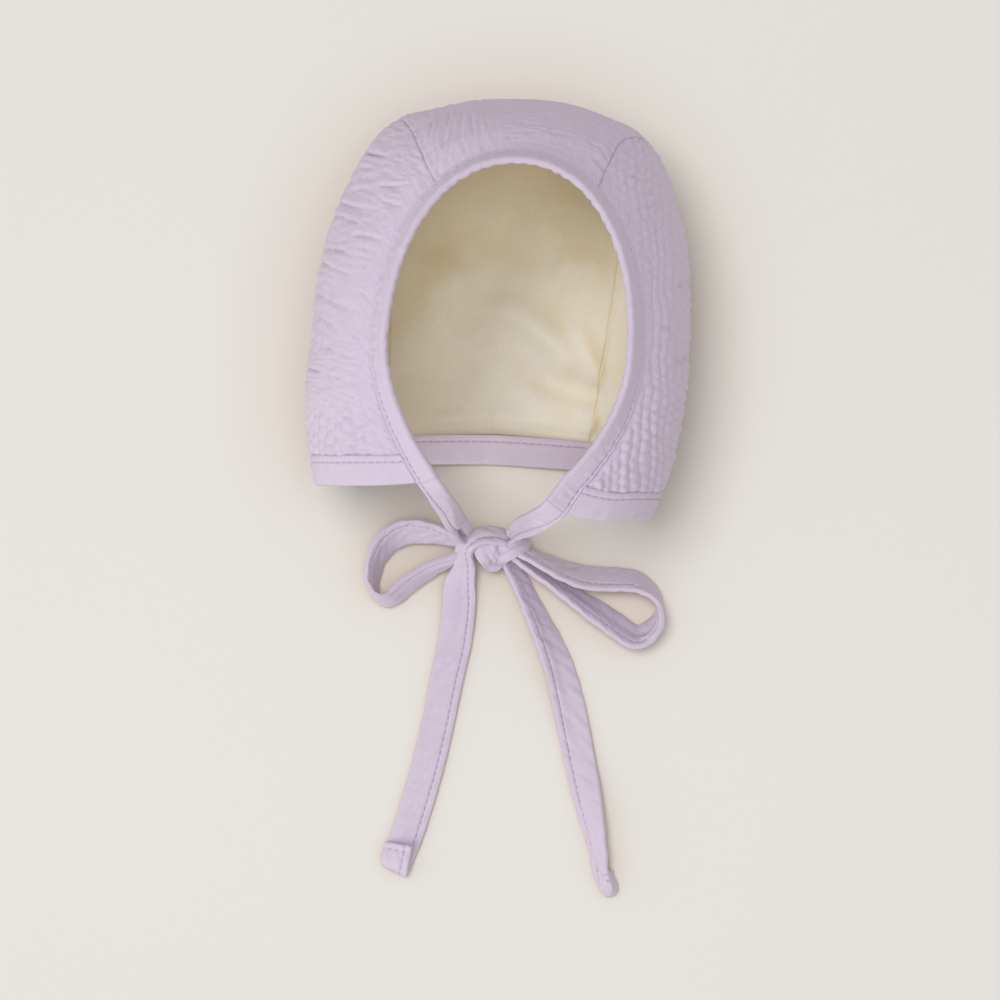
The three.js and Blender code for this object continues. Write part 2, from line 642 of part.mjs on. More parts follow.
const bonnet = new THREE.Group();
bonnet.add(named('centre_panel', centrePanel(), LILAC));
bonnet.add(named('side_panel_left', sidePanel(-1, LEFT_FOLDS), LILAC));
bonnet.add(named('side_panel_right', sidePanel(1, RIGHT_FOLDS), LILAC));
bonnet.add(named('centre_lining', centreLining(), CREAM));
bonnet.add(named('side_lining_left', sideLining(-1), CREAM));
bonnet.add(named('side_lining_right', sideLining(1), CREAM));
bonnet.add(named('face_binding', faceBinding(), LILAC_TAPE));
bonnet.add(named('neck_band', neckBand(), LILAC_TAPE));
for (const [name, geometry] of bow()) bonnet.add(named(name, geometry, LILAC_TAPE));

export default bonnet;
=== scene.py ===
"""A lined baby bonnet of crinkled cotton gauze, lying on its back with its ties in a bow.

The bonnet is one smooth hood that is cut into panels. Each piece is a grid or a row of rings on
that hood, with the puffs, gathers, creases and stitches of the real cloth worked into its mesh.
Lengths in the tables are millimetres; meshes are made in metres.
"""

import math

import bpy
import numpy as np
from bpy.props import FloatProperty, FloatVectorProperty, PointerProperty
from bpy.types import Operator, Panel, PropertyGroup
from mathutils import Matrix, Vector


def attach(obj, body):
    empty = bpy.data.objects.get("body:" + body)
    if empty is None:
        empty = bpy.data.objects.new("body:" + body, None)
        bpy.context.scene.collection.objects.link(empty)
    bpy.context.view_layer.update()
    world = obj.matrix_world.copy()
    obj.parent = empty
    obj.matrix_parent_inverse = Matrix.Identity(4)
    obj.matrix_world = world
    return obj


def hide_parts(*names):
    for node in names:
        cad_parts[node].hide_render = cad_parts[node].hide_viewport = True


bl_info = {
    "name": "Baby Bonnet",
    "version": (1, 0, 0),
    "blender": (4, 5, 0),
    "location": "3D View > Sidebar > Bonnet",
    "description": "A lined, gathered gauze bonnet with its ties in a bow",
    "category": "Object",
}

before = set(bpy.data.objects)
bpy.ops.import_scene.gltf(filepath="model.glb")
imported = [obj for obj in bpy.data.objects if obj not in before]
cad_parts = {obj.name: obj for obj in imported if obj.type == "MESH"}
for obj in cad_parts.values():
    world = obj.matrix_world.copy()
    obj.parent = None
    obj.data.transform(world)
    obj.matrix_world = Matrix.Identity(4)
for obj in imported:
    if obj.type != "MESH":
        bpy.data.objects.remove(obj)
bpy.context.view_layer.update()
MM = 0.001

# Cloth

OUTER_THICKNESS = 1.3
LINING_DEPTH = 1.8
LINING_THICKNESS = 1.0
BAND_PROUD = 0.2
BAND_THICKNESS = 3.0
TAPE_THICKNESS = 1.9
BAND_WIDTH = 11.0
BAND_LAP = 1.4

# The hood is a row of hoops from the face rim (along = 0) to the nape (along = 1). A hoop goes from
# the neck up one side, over the top and down the other: across is -1, 0 and 1 at those places.

HOOP_COLUMNS = ("along topY topZ wideX wideY wideZ neckX neckY neckZ squareness "
                "corner seamX seamShift shiftX skew bandTilt bandRise neckShift bandLean").split()
HOOPS = np.array([
    [0.00, 66.6, 101.0, 45.9, -2.3, 101.0, 27.0, -46.5, 97.5, 2.12,
     0.0, 28.9, -0.5, 2.6, 10.0, 0.72, -0.10, -0.5, 0.14],
    [0.07, 70.2, 92.0, 50.4, -3.0, 92.0, 33.6, -49.6, 93.5, 2.15,
     0.0, 30.4, -0.6, 2.6, 10.4, 0.62, -0.08, 0.0, 0.12],
    [0.14, 78.2, 86.5, 57.5, -5.0, 87.0, 44.0, -51.0, 90.0, 2.28,
     0.8, 34.1, -0.6, 2.1, 9.4, 0.50, 0.00, 0.0, 0.04],
    [0.24, 87.0, 75.0, 66.3, -8.0, 76.0, 55.0, -51.2, 84.0, 2.45,
     2.0, 38.8, 0.5, 1.2, 7.6, 0.46, 0.12, 0.0, 0.0],
    [0.38, 92.9, 52.0, 72.0, -10.5, 58.0, 65.0, -51.2, 69.5, 2.70,
     2.8, 46.5, 3.4, 0.0, 6.5, 0.34, 0.30, 0.0, 0.0],
    [0.54, 84.3, 20.0, 69.6, -8.0, 31.0, 66.0, -51.0, 47.0, 2.68,
     2.4, 46.0, 3.0, 0.0, 6.2, 0.24, 0.32, 0.0, 0.0],
    [0.68, 56.0, 0.8, 61.5, -6.0, 12.0, 61.0, -48.8, 27.0, 2.45,
     1.0, 43.5, 2.0, 0.0, 5.0, 0.10, 0.25, 0.0, 0.0],
    [0.84, 8.0, -0.8, 55.0, -22.0, 6.5, 56.0, -44.6, 13.0, 1.80,
     0.0, 41.0, 1.0, 0.0, 3.5, 0.00, 0.10, 0.0, 0.0],
    [1.00, -35.0, 0.6, 46.5, -37.0, 4.5, 51.0, -41.0, 6.5, 1.25,
     0.0, 39.5, 0.0, 0.0, 2.0, 0.00, 0.00, 0.0, 0.0],
])
SEAM_ACROSS = 0.34
WIDE_ACROSS = 0.66
CORNER_SPREAD = 0.085
BINDING_SEAM = 0.07
BAND_SCALE = 100.0
NAPE_SHARE = 0.42
NUDGE = 0.006

# The sides curve in below the widest line a little less than the top does, and then come down to
# the neck, slowly at first.
BULGE_LESS = 0.15
FALL_POWER = 1.5

# How near to the neck seam, across and along, the hood turns into the direction of the band.
SIDE_TURN = 0.12
NAPE_TURN = 0.1

# The bonnet leans: its middle line bends sideways, more at the hem than at the crown.
LEAN_CROWN = math.radians(0.95)
LEAN_HEM = math.radians(7.82)
LEAN_CROWN_Y = 95.0
LEAN_HEM_Y = -60.0
LEAN_AXIS_X = -0.9

# Creases of the outer cloth, seen from the front: three points of the line, the height of the step
# on its left hand, and how far that step takes to die away.
LEFT_CREASES = [
    [-52.0, 73.0, -48.0, 71.0, -40.0, 69.5, 1.0, 4.0],
    [-55.0, 67.0, -51.0, 66.0, -47.0, 64.5, 0.6, 3.0],
    [-47.5, 58.5, -40.5, 57.5, -33.5, 58.5, 0.7, 3.5],
    [-57.5, 57.5, -53.5, 57.5, -49.5, 57.0, 0.5, 2.5],
    [-63.5, 55.0, -56.0, 51.0, -43.5, 48.0, 1.0, 4.0],
    [-45.0, 52.0, -40.5, 50.5, -36.5, 49.5, 0.6, 3.0],
    [-65.5, 50.0, -57.5, 46.0, -52.0, 43.0, 0.9, 3.5],
    [-57.5, 40.0, -49.5, 38.5, -43.5, 36.5, 0.9, 4.0],
    [-69.5, 36.5, -60.0, 34.0, -53.5, 30.0, 0.9, 4.0],
    [-71.0, 31.5, -62.5, 27.5, -55.0, 24.0, 1.0, 3.5],
    [-72.5, 26.5, -67.0, 23.0, -61.0, 21.5, 0.6, 3.0],
    [-73.5, 20.5, -63.5, 14.5, -55.0, 10.5, 1.1, 4.5],
    [-54.0, 18.5, -51.0, 16.5, -49.5, 13.0, 0.5, 3.0],
    [-75.0, 13.5, -66.5, 7.5, -60.0, 2.5, 1.0, 3.5],
    [-75.0, 9.0, -70.0, 6.5, -67.0, 4.5, 0.5, 2.5],
    [-75.5, 4.0, -67.0, -1.5, -60.5, -6.0, 0.8, 4.0],
    [-76.0, -9.0, -71.0, -10.5, -67.5, -12.0, 0.8, 3.0],
]
RIGHT_CREASES = [
    [36.0, 57.0, 31.5, 61.5, 28.0, 64.5, 0.7, 3.0],
    [51.0, 62.5, 49.0, 67.5, 45.5, 71.0, 0.6, 3.0],
    [51.5, 60.5, 48.5, 60.5, 46.5, 61.5, 0.4, 2.5],
    [57.0, 55.0, 54.5, 54.5, 51.5, 55.0, 0.5, 2.5],
    [57.5, 51.5, 55.0, 49.5, 52.0, 49.0, 0.5, 2.5],
    [54.0, 43.5, 51.0, 46.5, 49.5, 50.5, 0.5, 3.0],
    [58.0, 40.5, 56.5, 43.5, 56.0, 47.5, 0.5, 2.5],
    [55.5, 28.5, 53.0, 30.0, 50.0, 30.5, 0.4, 2.5],
    [72.0, 22.0, 66.0, 20.0, 60.0, 19.0, 0.6, 3.5],
    [64.0, 2.5, 60.0, 4.0, 56.0, 5.0, 0.5, 2.5],
    [72.0, -6.0, 66.0, -8.0, 59.0, -8.5, 0.6, 3.5],
]
CENTRE_CREASES = [
    [-26.0, 84.0, -27.0, 78.5, -27.5, 73.0, 0.5, 2.5],
    [-20.0, 87.0, -20.5, 81.0, -22.5, 75.0, 0.5, 2.5],
    [-12.0, 87.0, -11.5, 80.5, -11.0, 75.5, 0.4, 2.5],
    [-21.0, 75.0, -22.0, 72.0, -22.5, 68.5, 0.5, 2.0],
    [-15.5, 87.5, -15.0, 82.0, -16.0, 78.0, 0.4, 2.0],
    [4.5, 84.0, 1.0, 85.5, -3.5, 85.5, 0.4, 2.5],
    [20.0, 75.0, 17.0, 76.5, 14.0, 77.0, 0.5, 2.5],
    [18.5, 77.5, 14.0, 79.5, 8.5, 80.0, 0.5, 2.5],
    [41.0, 69.0, 36.5, 73.5, 33.0, 75.5, 0.8, 3.0],
    [43.5, 70.5, 40.5, 74.0, 37.0, 77.0, 0.8, 3.0],
    [38.5, 66.5, 35.5, 70.5, 32.0, 72.5, 0.7, 2.5],
    [37.5, 62.0, 35.5, 64.5, 31.0, 67.5, 0.7, 2.5],
]

# Soft folds of the lining, seen from the front: three points of the ridge, its height and width.
LINING_FOLDS = [
    [34.0, -11.5, 16.0, 6.5, -9.0, 23.0, 3.8, 6.0],
    [40.0, -16.0, 34.5, 0.0, 28.0, 14.0, 2.6, 3.4],
    [44.0, -20.5, 23.0, -15.0, 1.0, -8.0, -3.8, 4.2],
    [30.0, 66.0, 19.0, 53.0, 6.0, 36.0, 2.8, 10.0],
    [20.0, 35.0, 33.0, 32.0, 48.0, 31.0, 2.6, 7.0],
    [32.0, -36.0, 36.0, -31.0, 35.5, -26.5, 2.0, 2.2],
    [-20.0, 40.0, -26.0, 16.0, -24.0, -12.0, 3.0, 12.0],
    [-34.0, -34.0, -10.0, -32.0, 20.0, -34.0, 2.4, 6.0],
]

# The seams of the lining, as places across. The side linings lap over the centre one by LINING_LAP.
# The lining hangs slack, and is never pushed further out than LINING_DEEPEST.
LINING_SEAMS = (-0.40, 0.34)
LINING_LAP = 0.002
LINING_SLACK = 2.4
LINING_DEEPEST = -0.7

# The ties, a row for each place along the middle line of the tape. roll is the turn about that
# line, 0 where the tape lies flat. fold is the depth of a narrow lengthwise valley or, below 0, the
# height of a broad ridge, and fold_at its place across the tape, from -0.5 to 0.5 at the stitches.
RIBBON_COLUMNS = ("x", "y", "z", "width", "roll", "fold", "fold_at")
STRAP_LEFT = [
    [-25.2, -56.5, 91.5, 8.7, 206, -0.4, -0.24],
    [-23.1, -59.8, 85.0, 8.9, 196, -1.4, -0.20],
    [-20.9, -62.9, 76.0, 9.0, 188, -2.2, -0.12],
    [-19.2, -66.6, 58.0, 9.2, 182, -2.4, 0.0],
    [-18.0, -68.9, 44.0, 9.0, 180, -1.2, 0.04],
    [-16.8, -70.9, 31.0, 8.6, 178, 1.5, 0.06],
    [-15.0, -73.5, 18.5, 8.0, 175, 3.4, 0.12],
    [-12.5, -75.3, 13.0, 7.0, 170, 2.0, 0.1],
]
STRAP_RIGHT = [
    [17.8, -64.3, 92.0, 9.7, -28, 0.0, 0.0],
    [15.2, -66.3, 87.0, 9.7, -18, -0.2, -0.1],
    [12.0, -68.3, 76.0, 9.3, -8, -0.4, -0.1],
    [7.8, -70.4, 51.0, 8.8, 0, 0.3, -0.1],
    [5.4, -72.0, 33.0, 7.6, 4, 0.8, 0.0],
    [4.0, -73.3, 21.0, 6.2, 10, 1.2, 0.0],
    [2.2, -75.4, 14.0, 5.0, 16, 1.0, 0.0],
]
LOOP_LEFT = [
    [-11.5, -77.4, 12.6, 6.0, 122, 0.5, 0.0],
    [-17.0, -76.4, 11.4, 7.5, 126, 0.4, 0.0],
    [-24.5, -74.0, 9.6, 10.0, 135, 0.3, 0.0],
    [-32.5, -72.4, 8.2, 12.2, 139, 0.2, 0.0],
    [-40.5, -73.2, 7.6, 13.0, 140, 0.2, 0.0],
    [-47.0, -77.8, 7.2, 13.0, 130, 0.2, 0.0],
    [-51.0, -85.0, 7.0, 13.0, 119, 0.2, 0.0],
    [-52.0, -92.5, 7.2, 13.0, 108, 0.2, 0.0],
    [-49.8, -98.6, 7.8, 12.8, 84, 0.2, 0.0],
    [-44.6, -99.2, 7.6, 12.6, 64, 0.2, 0.0],
    [-38.5, -94.4, 7.2, 12.4, 58, 0.2, 0.0],
    [-32.0, -89.4, 7.4, 11.5, 57, 0.3, 0.0],
    [-25.5, -85.8, 8.2, 10.0, 60, 0.5, 0.0],
    [-19.0, -83.4, 9.0, 8.0, 62, 0.5, 0.0],
    [-11.5, -80.6, 9.4, 6.0, 66, 0.4, 0.0],
]
LOOP_RIGHT = [
    [0.0, -77.6, 12.6, 6.5, 118, 0.4, 0.0],
    [9.6, -81.2, 12.2, 8.5, 120, 0.3, 0.0],
    [21.8, -87.2, 10.2, 11.5, 128, 0.2, 0.0],
    [33.3, -90.8, 8.6, 13.0, 132, 0.2, 0.0],
    [43.4, -91.4, 7.8, 13.0, 132, 0.2, 0.0],
    [52.8, -92.5, 7.5, 13.0, 126, 0.2, 0.0],
    [60.0, -97.0, 7.5, 13.0, 108, 0.2, 0.0],
    [62.4, -104.4, 7.6, 13.0, 84, 0.3, 0.0],
    [59.6, -110.9, 7.4, 13.0, 62, 0.8, 0.0],
    [53.5, -114.6, 6.4, 13.0, 49, 1.2, -0.1],
    [46.9, -111.1, 6.0, 13.0, 45, 0.9, -0.1],
    [38.2, -105.1, 6.2, 12.8, 47, 0.5, -0.1],
    [27.8, -98.2, 6.8, 11.8, 57, 0.4, -0.1],
    [17.6, -91.8, 8.2, 9.5, 68, 0.3, 0.0],
    [9.4, -86.2, 8.8, 7.5, 68, 0.3, 0.0],
    [1.0, -80.4, 9.0, 6.5, 68, 0.3, 0.0],
]
TAIL_LEFT = [
    [-17.3, -94.7, 4.6, 13.0, 2, 0.3, 0.1],
    [-17.6, -103.0, 2.8, 13.5, 0, 0.2, 0.1],
    [-19.2, -116.8, 1.6, 13.5, 0, 0.0, 0.0],
    [-22.4, -131.5, 1.3, 13.2, 0, 0.0, 0.0],
    [-26.1, -149.8, 1.3, 13.0, 0, 0.0, 0.0],
    [-29.8, -165.5, 1.3, 13.0, 0, 0.0, 0.0],
    [-33.4, -178.2, 1.3, 13.0, 0, 0.0, 0.0],
    [-37.3, -191.0, 1.3, 12.8, 0, 0.0, 0.0],
    [-40.3, -199.2, 1.4, 12.6, 0, 0.0, 0.0],
]
TAIL_LEFT_HEM = [
    [-42.2, -204.4, 1.6, 12.2, 0, 0.0, 0.0],
    [-43.4, -207.0, 3.2, 12.0, 0, 0.0, 0.0],
    [-43.0, -204.4, 4.9, 12.0, 0, 0.0, 0.0],
    [-42.1, -200.4, 4.7, 11.8, 0, 0.0, 0.0],
    [-41.4, -197.2, 4.1, 11.7, 0, 0.0, 0.0],
]
TAIL_RIGHT = [
    [0.5, -80.5, 5.2, 7.0, 150, 0.3, 0.0],
    [3.6, -86.8, 5.0, 8.5, 138, 0.4, 0.0],
    [7.8, -94.4, 4.8, 10.0, 134, 0.5, 0.0],
    [12.3, -103.8, 4.6, 11.0, 136, 0.5, 0.0],
    [17.4, -114.6, 4.2, 12.0, 146, 0.4, 0.0],
    [22.0, -125.9, 3.2, 12.6, 158, 0.3, 0.0],
    [25.5, -138.8, 2.2, 13.0, 170, 0.2, 0.0],
    [28.3, -151.9, 1.6, 13.0, 180, 0.1, 0.0],
    [30.9, -165.4, 2.0, 12.6, 188, -0.3, 0.0],
    [33.6, -178.1, 3.4, 12.3, 203, -0.7, 0.0],
    [36.4, -190.7, 4.8, 11.6, 223, -0.9, 0.0],
    [38.2, -200.4, 5.2, 10.4, 238, -0.4, 0.0],
]
TAIL_RIGHT_HEM = [
    [38.9, -206.6, 5.0, 9.2, 246, 0.0, 0.0],
    [40.3, -212.0, 4.8, 9.0, 246, 0.0, 0.0],
    [42.6, -215.9, 4.8, 9.0, 270, 0.0, 0.0],
    [44.0, -214.8, 4.8, 8.8, 290, 0.0, 0.0],
    [42.9, -211.2, 4.8, 8.6, 294, 0.0, 0.0],
    [41.4, -208.4, 4.8, 8.4, 294, 0.0, 0.0],
]

# The tape folds over at its end without a twist, and is stitched across near that end.
HEM_RING = -5

# Where each tie turns inside the knot, and the turn that it makes over the knot.
TURN_LEFT = [
    [-5.0, -79.0, 10.5, 6.0, 150, 1.0, 0.0],
    [-6.2, -78.2, 11.8, 6.0, 126, 0.5, 0.0],
]
PASS_LEFT = [
    [-5.0, -80.2, 8.0, 6.0, 110, 0.5, 0.0],
]
TURN_RIGHT = [
    [-3.8, -78.0, 11.0, 6.0, 60, 1.0, 0.0],
    [-4.2, -77.6, 11.0, 6.0, 90, 0.5, 0.0],
]
OVER_KNOT = [
    [-5.0, -81.5, 6.0, 6.0, 40, 0.4, 0.0],
    [1.5, -79.5, 6.5, 6.5, 10, 0.4, 0.0],
    [3.2, -77.2, 11.5, 7.5, 26, 0.2, 0.0],
    [0.4, -75.0, 14.6, 8.0, 38, 0.2, 0.1],
    [-4.4, -73.8, 16.0, 8.4, 40, 0.4, 0.1],
    [-9.6, -74.4, 16.2, 8.4, 40, 0.4, 0.1],
    [-13.8, -77.2, 14.9, 8.2, 36, 0.2, 0.1],
    [-15.6, -81.0, 12.4, 8.2, 28, 0.1, 0.1],
    [-15.3, -87.0, 8.6, 9.2, 10, 0.4, 0.1],
]
KNOT_WRAPS = {
    "front": [
        [-6.8, -74.2, 11.5, 8.6, 0, 0.4, 0.1],
        [-7.0, -76.4, 14.4, 9.0, 0, 0.6, 0.08],
        [-6.6, -80.2, 14.4, 9.6, 0, 0.9, 0.05],
        [-4.9, -82.8, 12.8, 9.2, 0, 0.9, 0.0],
        [-3.8, -84.4, 9.0, 8.6, 0, 0.6, -0.05],
        [-3.4, -83.6, 4.8, 7.8, 0, 0.3, 0.0],
    ],
    "right": [
        [-1.4, -84.0, 8.6, 6.4, 0, 0.4, 0.1],
        [-0.4, -82.0, 12.8, 6.8, 0, 0.6, 0.1],
        [3.4, -79.6, 15.2, 7.2, 0, 0.7, 0.1],
        [7.4, -77.4, 13.4, 7.0, 0, 0.6, 0.05],
        [9.0, -76.2, 8.8, 6.4, 0, 0.4, 0.0],
    ],
}
KNOT_CORE = {"place": (-4.8, -78.8, 8.0), "half": (8.6, 5.4, 5.0)}

# How the photograph was taken: straight down, from far enough for little perspective.
CAMERA_PLACE = (-1.2, -60.0, 1300.0)
LENS = 117.0
SENSOR = 36.0
CLIP_END = 10.0

# The floor, in metres: its half width, its place just under the bonnet, the warm tint of its painted shadow
# and how far that shadow reaches, and the shades of its colour from the near side to the far side, a
# painted falloff of light.
FLOOR_HALF = 1.6
FLOOR_PLACE = (0, -0.05, -0.0002)
FLOOR_SHADOW = (0.84, 0.73, 0.59)
FLOOR_SHADOW_REACH = 0.055
FLOOR_NEAR_Y, FLOOR_FAR_Y = -0.22, 0.2
FLOOR_NEAR_SHADE, FLOOR_FAR_SHADE = 1.02, 0.965
FLOOR_ROUGHNESS = 0.9
FLOOR_GLOSS = 0.2

# The lights, in metres: what each falls on, its place, its width, the setting that gives its power,
# its share of that power, and its colour. Each one looks at LIGHT_AIM.
LIGHT_AIM = (0.0, -0.04, 0.03)
LIGHTS = {
    "shell_light": ("shell", (-0.70, -0.50, 0.66), 0.8, "key_power", 1.0, (1.0, 0.99, 0.975)),
    "lining_light": ("lining", (-0.43, 0.26, 0.87), 0.36, "lining_power", 1.0, (0.94, 1.0, 1.15)),
    "lining_fill": ("lining", (0.05, -0.35, 0.95), 0.6, "lining_power", 0.17, (1.0, 0.8, 0.42)),
    "floor_light": ("floor", (-0.42, 0.30, 2.20), 0.9, "floor_power", 1.0, (1.0, 0.99, 0.97)),
    "fill_light": (None, (0.0, -0.05, 1.90), 0.9, "fill_power", 1.0, (1.0, 0.99, 0.98)),
}
SKY_LOW = (1.0, 0.93, 0.85)
SKY_HIGH = (0.98, 0.99, 1.0)
SKY_RISE = 0.75


# Numbers

def smooth_value(places, values, place):
    """The value, at each place, of a smooth curve through a table's values."""
    places, values = np.asarray(places, float), np.asarray(values, float)
    at = np.clip(place, places[0], places[-1])
    step = np.diff(places)
    chord = np.diff(values) / step
    slope = np.empty_like(values)
    slope[0], slope[-1] = chord[0], chord[-1]
    slope[1:-1] = (chord[:-1] * step[1:] + chord[1:] * step[:-1]) / (step[:-1] + step[1:])
    k = np.clip(np.searchsorted(places, at, side="right") - 1, 0, len(places) - 2)
    u = (at - places[k]) / step[k]
    rise = u * u * (3 - 2 * u)
    bend = step[k] * (slope[k] * u * (1 - u) ** 2 - slope[k + 1] * u * u * (1 - u))
    return values[k] * (1 - rise) + values[k + 1] * rise + bend


def smoothstep(value, low, high):
    """From 0 at low to 1 at high, with soft ends."""
    t = np.clip((value - low) / (high - low), 0, 1)
    return t * t * (3 - 2 * t)


def bell(value, width):
    """1 at 0, and dying away on both sides over a width."""
    return np.exp(-((value / width) ** 2))


def unit(vectors):
    """The vectors at a length of 1."""
    return vectors / np.maximum(np.linalg.norm(vectors, axis=-1, keepdims=True), 1e-12)


NOISE_CELLS = 128
NOISE_GAIN = 1.5


def eased(share):
    """A share from 0 to 1 with very soft ends, as smooth noise needs."""
    return share * share * share * (share * (6 * share - 15) + 10)


def soft_noise(x, y, seed):
    """Smooth random values of about -1 to 1, with features about one unit across."""
    angles = np.random.default_rng(seed).uniform(0, 2 * math.pi, (NOISE_CELLS, NOISE_CELLS))
    left, low = np.floor(x).astype(int), np.floor(y).astype(int)
    fx, fy = x - left, y - low

    def corner(i, j):
        angle = angles[(left + i) % NOISE_CELLS, (low + j) % NOISE_CELLS]
        return np.cos(angle) * (fx - i) + np.sin(angle) * (fy - j)

    bottom = corner(0, 0) * (1 - eased(fx)) + corner(1, 0) * eased(fx)
    top = corner(0, 1) * (1 - eased(fx)) + corner(1, 1) * eased(fx)
    return NOISE_GAIN * (bottom * (1 - eased(fy)) + top * eased(fy))


def ridges(x, y, seed):
    """Like soft_noise, but with narrow crests."""
    return 1 - 2 * np.abs(soft_noise(x, y, seed))


def run_length(points, axis):
    """How far each grid point is along its row or column, from its start."""
    steps = np.linalg.norm(np.diff(points, axis=axis), axis=-1)
    start = np.zeros_like(np.take(steps, [0], axis=axis))
    return np.concatenate([start, np.cumsum(steps, axis=axis)], axis=axis)


# The surface of the hood

def hoop_at(along):
    """The values of the hoops between those of the table."""
    return {name: smooth_value(HOOPS[:, 0], HOOPS[:, k], along) for k, name in enumerate(HOOP_COLUMNS)}


def leaned(hoop, x, y, z):
    """A place of the upright hood, moved as the bonnet leans, and never under the floor."""
    per_mm = (LEAN_HEM - LEAN_CROWN) / (LEAN_CROWN_Y - LEAN_HEM_Y)
    sideways = (LEAN_CROWN + per_mm * LEAN_CROWN_Y) * y - per_mm * y * y / 2
    down = (LEAN_CROWN_Y - y) / (LEAN_CROWN_Y - LEAN_HEM_Y)
    slope = LEAN_CROWN + (np.radians(hoop["skew"]) - LEAN_CROWN) * down
    return np.stack([x + sideways + LEAN_AXIS_X, y - x * np.tan(slope), np.maximum(z, 0)], axis=-1)


def point_on_hoop(hoop, across):
    """A place on a hoop above the neck band, before the lean, as x, y and z."""
    a = np.minimum(np.abs(across), 1)
    side = np.sign(across)
    power = 2 / hoop["squareness"]
    seam_x = hoop["seamX"] + side * hoop["seamShift"]
    seam_angle = np.arccos(np.clip(seam_x / hoop["wideX"], 0, 1) ** (1 / power))
    angle = np.where(
        a < SEAM_ACROSS,
        math.pi / 2 - (math.pi / 2 - seam_angle) * a / SEAM_ACROSS,
        seam_angle * np.clip(WIDE_ACROSS - a, 0, 1) / (WIDE_ACROSS - SEAM_ACROSS),
    )
    up, out = np.sin(angle), np.abs(np.cos(angle))
    corner = hoop["corner"] * bell(a - SEAM_ACROSS, CORNER_SPREAD)
    down = np.clip((a - WIDE_ACROSS) / (1 - WIDE_ACROSS), 0, 1)
    bulge = np.maximum(hoop["squareness"] - BULGE_LESS, 1)
    upper = a < WIDE_ACROSS
    x = np.where(
        upper,
        side * (hoop["wideX"] * out ** power + corner * out),
        side * (hoop["wideX"] - (hoop["wideX"] - hoop["neckX"]) * down ** bulge),
    )
    y = np.where(
        upper,
        hoop["wideY"] + (hoop["topY"] - hoop["wideY"]) * up ** power + corner * up,
        hoop["wideY"] + (hoop["neckY"] - hoop["wideY"]) * down,
    )
    z = np.where(
        upper,
        hoop["wideZ"] + (hoop["topZ"] - hoop["wideZ"]) * up ** 2,
        hoop["wideZ"] + (hoop["neckZ"] - hoop["wideZ"]) * down ** FALL_POWER,
    )
    return x + hoop["shiftX"] + hoop["neckShift"] * down, y, z


def band_direction(hoop, sideways):
    """The way that the neck band goes down from the end of a hoop."""
    way = [hoop["bandLean"] - hoop["bandTilt"] * sideways, -np.ones_like(sideways),
           hoop["bandRise"] * np.abs(sideways)]
    return unit(np.stack(way, axis=-1))


def hood_point(along, across):
    """A place on the hood. |across| over 1, or along over 1, goes on down the neck band."""
    along, across = np.broadcast_arrays(np.asarray(along, float), np.asarray(across, float))
    hoop = hoop_at(along)
    point = np.stack(point_on_hoop(hoop, across), axis=-1)
    below_side = np.maximum(np.abs(across) - 1, 0) * BAND_SCALE
    below_nape = np.maximum(along - 1, 0) * BAND_SCALE
    point = point + band_direction(hoop, np.sign(across)) * below_side[..., None]
    point = point + band_direction(hoop, np.clip(across, -1, 1)) * below_nape[..., None]
    return leaned(hoop, point[..., 0], point[..., 1], point[..., 2])


def neck_place(around, drop=0.0):
    """The seam of the neck band as one line, from -1 at the left chin corner to 1 at the right."""
    around, drop = np.broadcast_arrays(np.asarray(around, float), np.asarray(drop, float))
    r = np.abs(around)
    at_nape = r <= NAPE_SHARE
    along = np.where(
        at_nape,
        1 + drop / BAND_SCALE,
        1 - (r - NAPE_SHARE) / (1 - NAPE_SHARE) * (1 - BINDING_SEAM),
    )
    across = np.where(at_nape, around / NAPE_SHARE, np.sign(around) * (1 + drop / BAND_SCALE))
    return along, across


def around_of(along, across):
    """The place along the neck seam, as neck_place takes it, that is nearest to a place on the hood."""
    share = (1 - np.minimum(along, 1)) / (1 - BINDING_SEAM)
    on_side = np.sign(across) * (NAPE_SHARE + share * (1 - NAPE_SHARE))
    return np.where(np.abs(across) < 1, across * NAPE_SHARE, on_side)


def neck_normal(around):
    """The outward direction square to the neck band."""
    before = hood_point(*neck_place(around - 3 * NUDGE))
    after = hood_point(*neck_place(around + 3 * NUDGE))
    below = hood_point(*neck_place(around, 1.0)) - hood_point(*neck_place(around))
    return unit(np.cross(after - before, below))


def hood_normal(along, across):
    """The outward direction square to the hood."""
    along, across = np.broadcast_arrays(np.asarray(along, float), np.asarray(across, float))
    behind, before = (hood_point(np.clip(along + step, 0, 1), across) for step in (NUDGE, -NUDGE))
    right, left = (hood_point(along, np.clip(across + step, -1, 1)) for step in (NUDGE, -NUDGE))
    near_side = 1 - smoothstep(1 - np.abs(across), 0, SIDE_TURN)
    near_nape = 1 - smoothstep(1 - along, 0, NAPE_TURN)
    on_band = (np.abs(across) >= 1) | (along >= 1)
    free = unit(np.cross(right - left, behind - before)) * ((1 - near_side) * (1 - near_nape))[..., None]
    side = neck_normal(around_of(along, np.sign(across))) * near_side[..., None]
    nape = neck_normal(across * NAPE_SHARE) * (near_nape * (1 - near_side))[..., None]
    band = neck_normal(around_of(along, across))
    return unit(np.where(on_band[..., None], band, free + side + nape))


def cloth_point(along, across, depth):
    """A place inside the cloth: depth goes inwards from the outer face."""
    along, across, depth = np.broadcast_arrays(*(np.asarray(v, float) for v in (along, across, depth)))
    return hood_point(along, across) - hood_normal(along, across) * depth[..., None]


# Folds, puffs and puckers

LINE_PIECES = 14

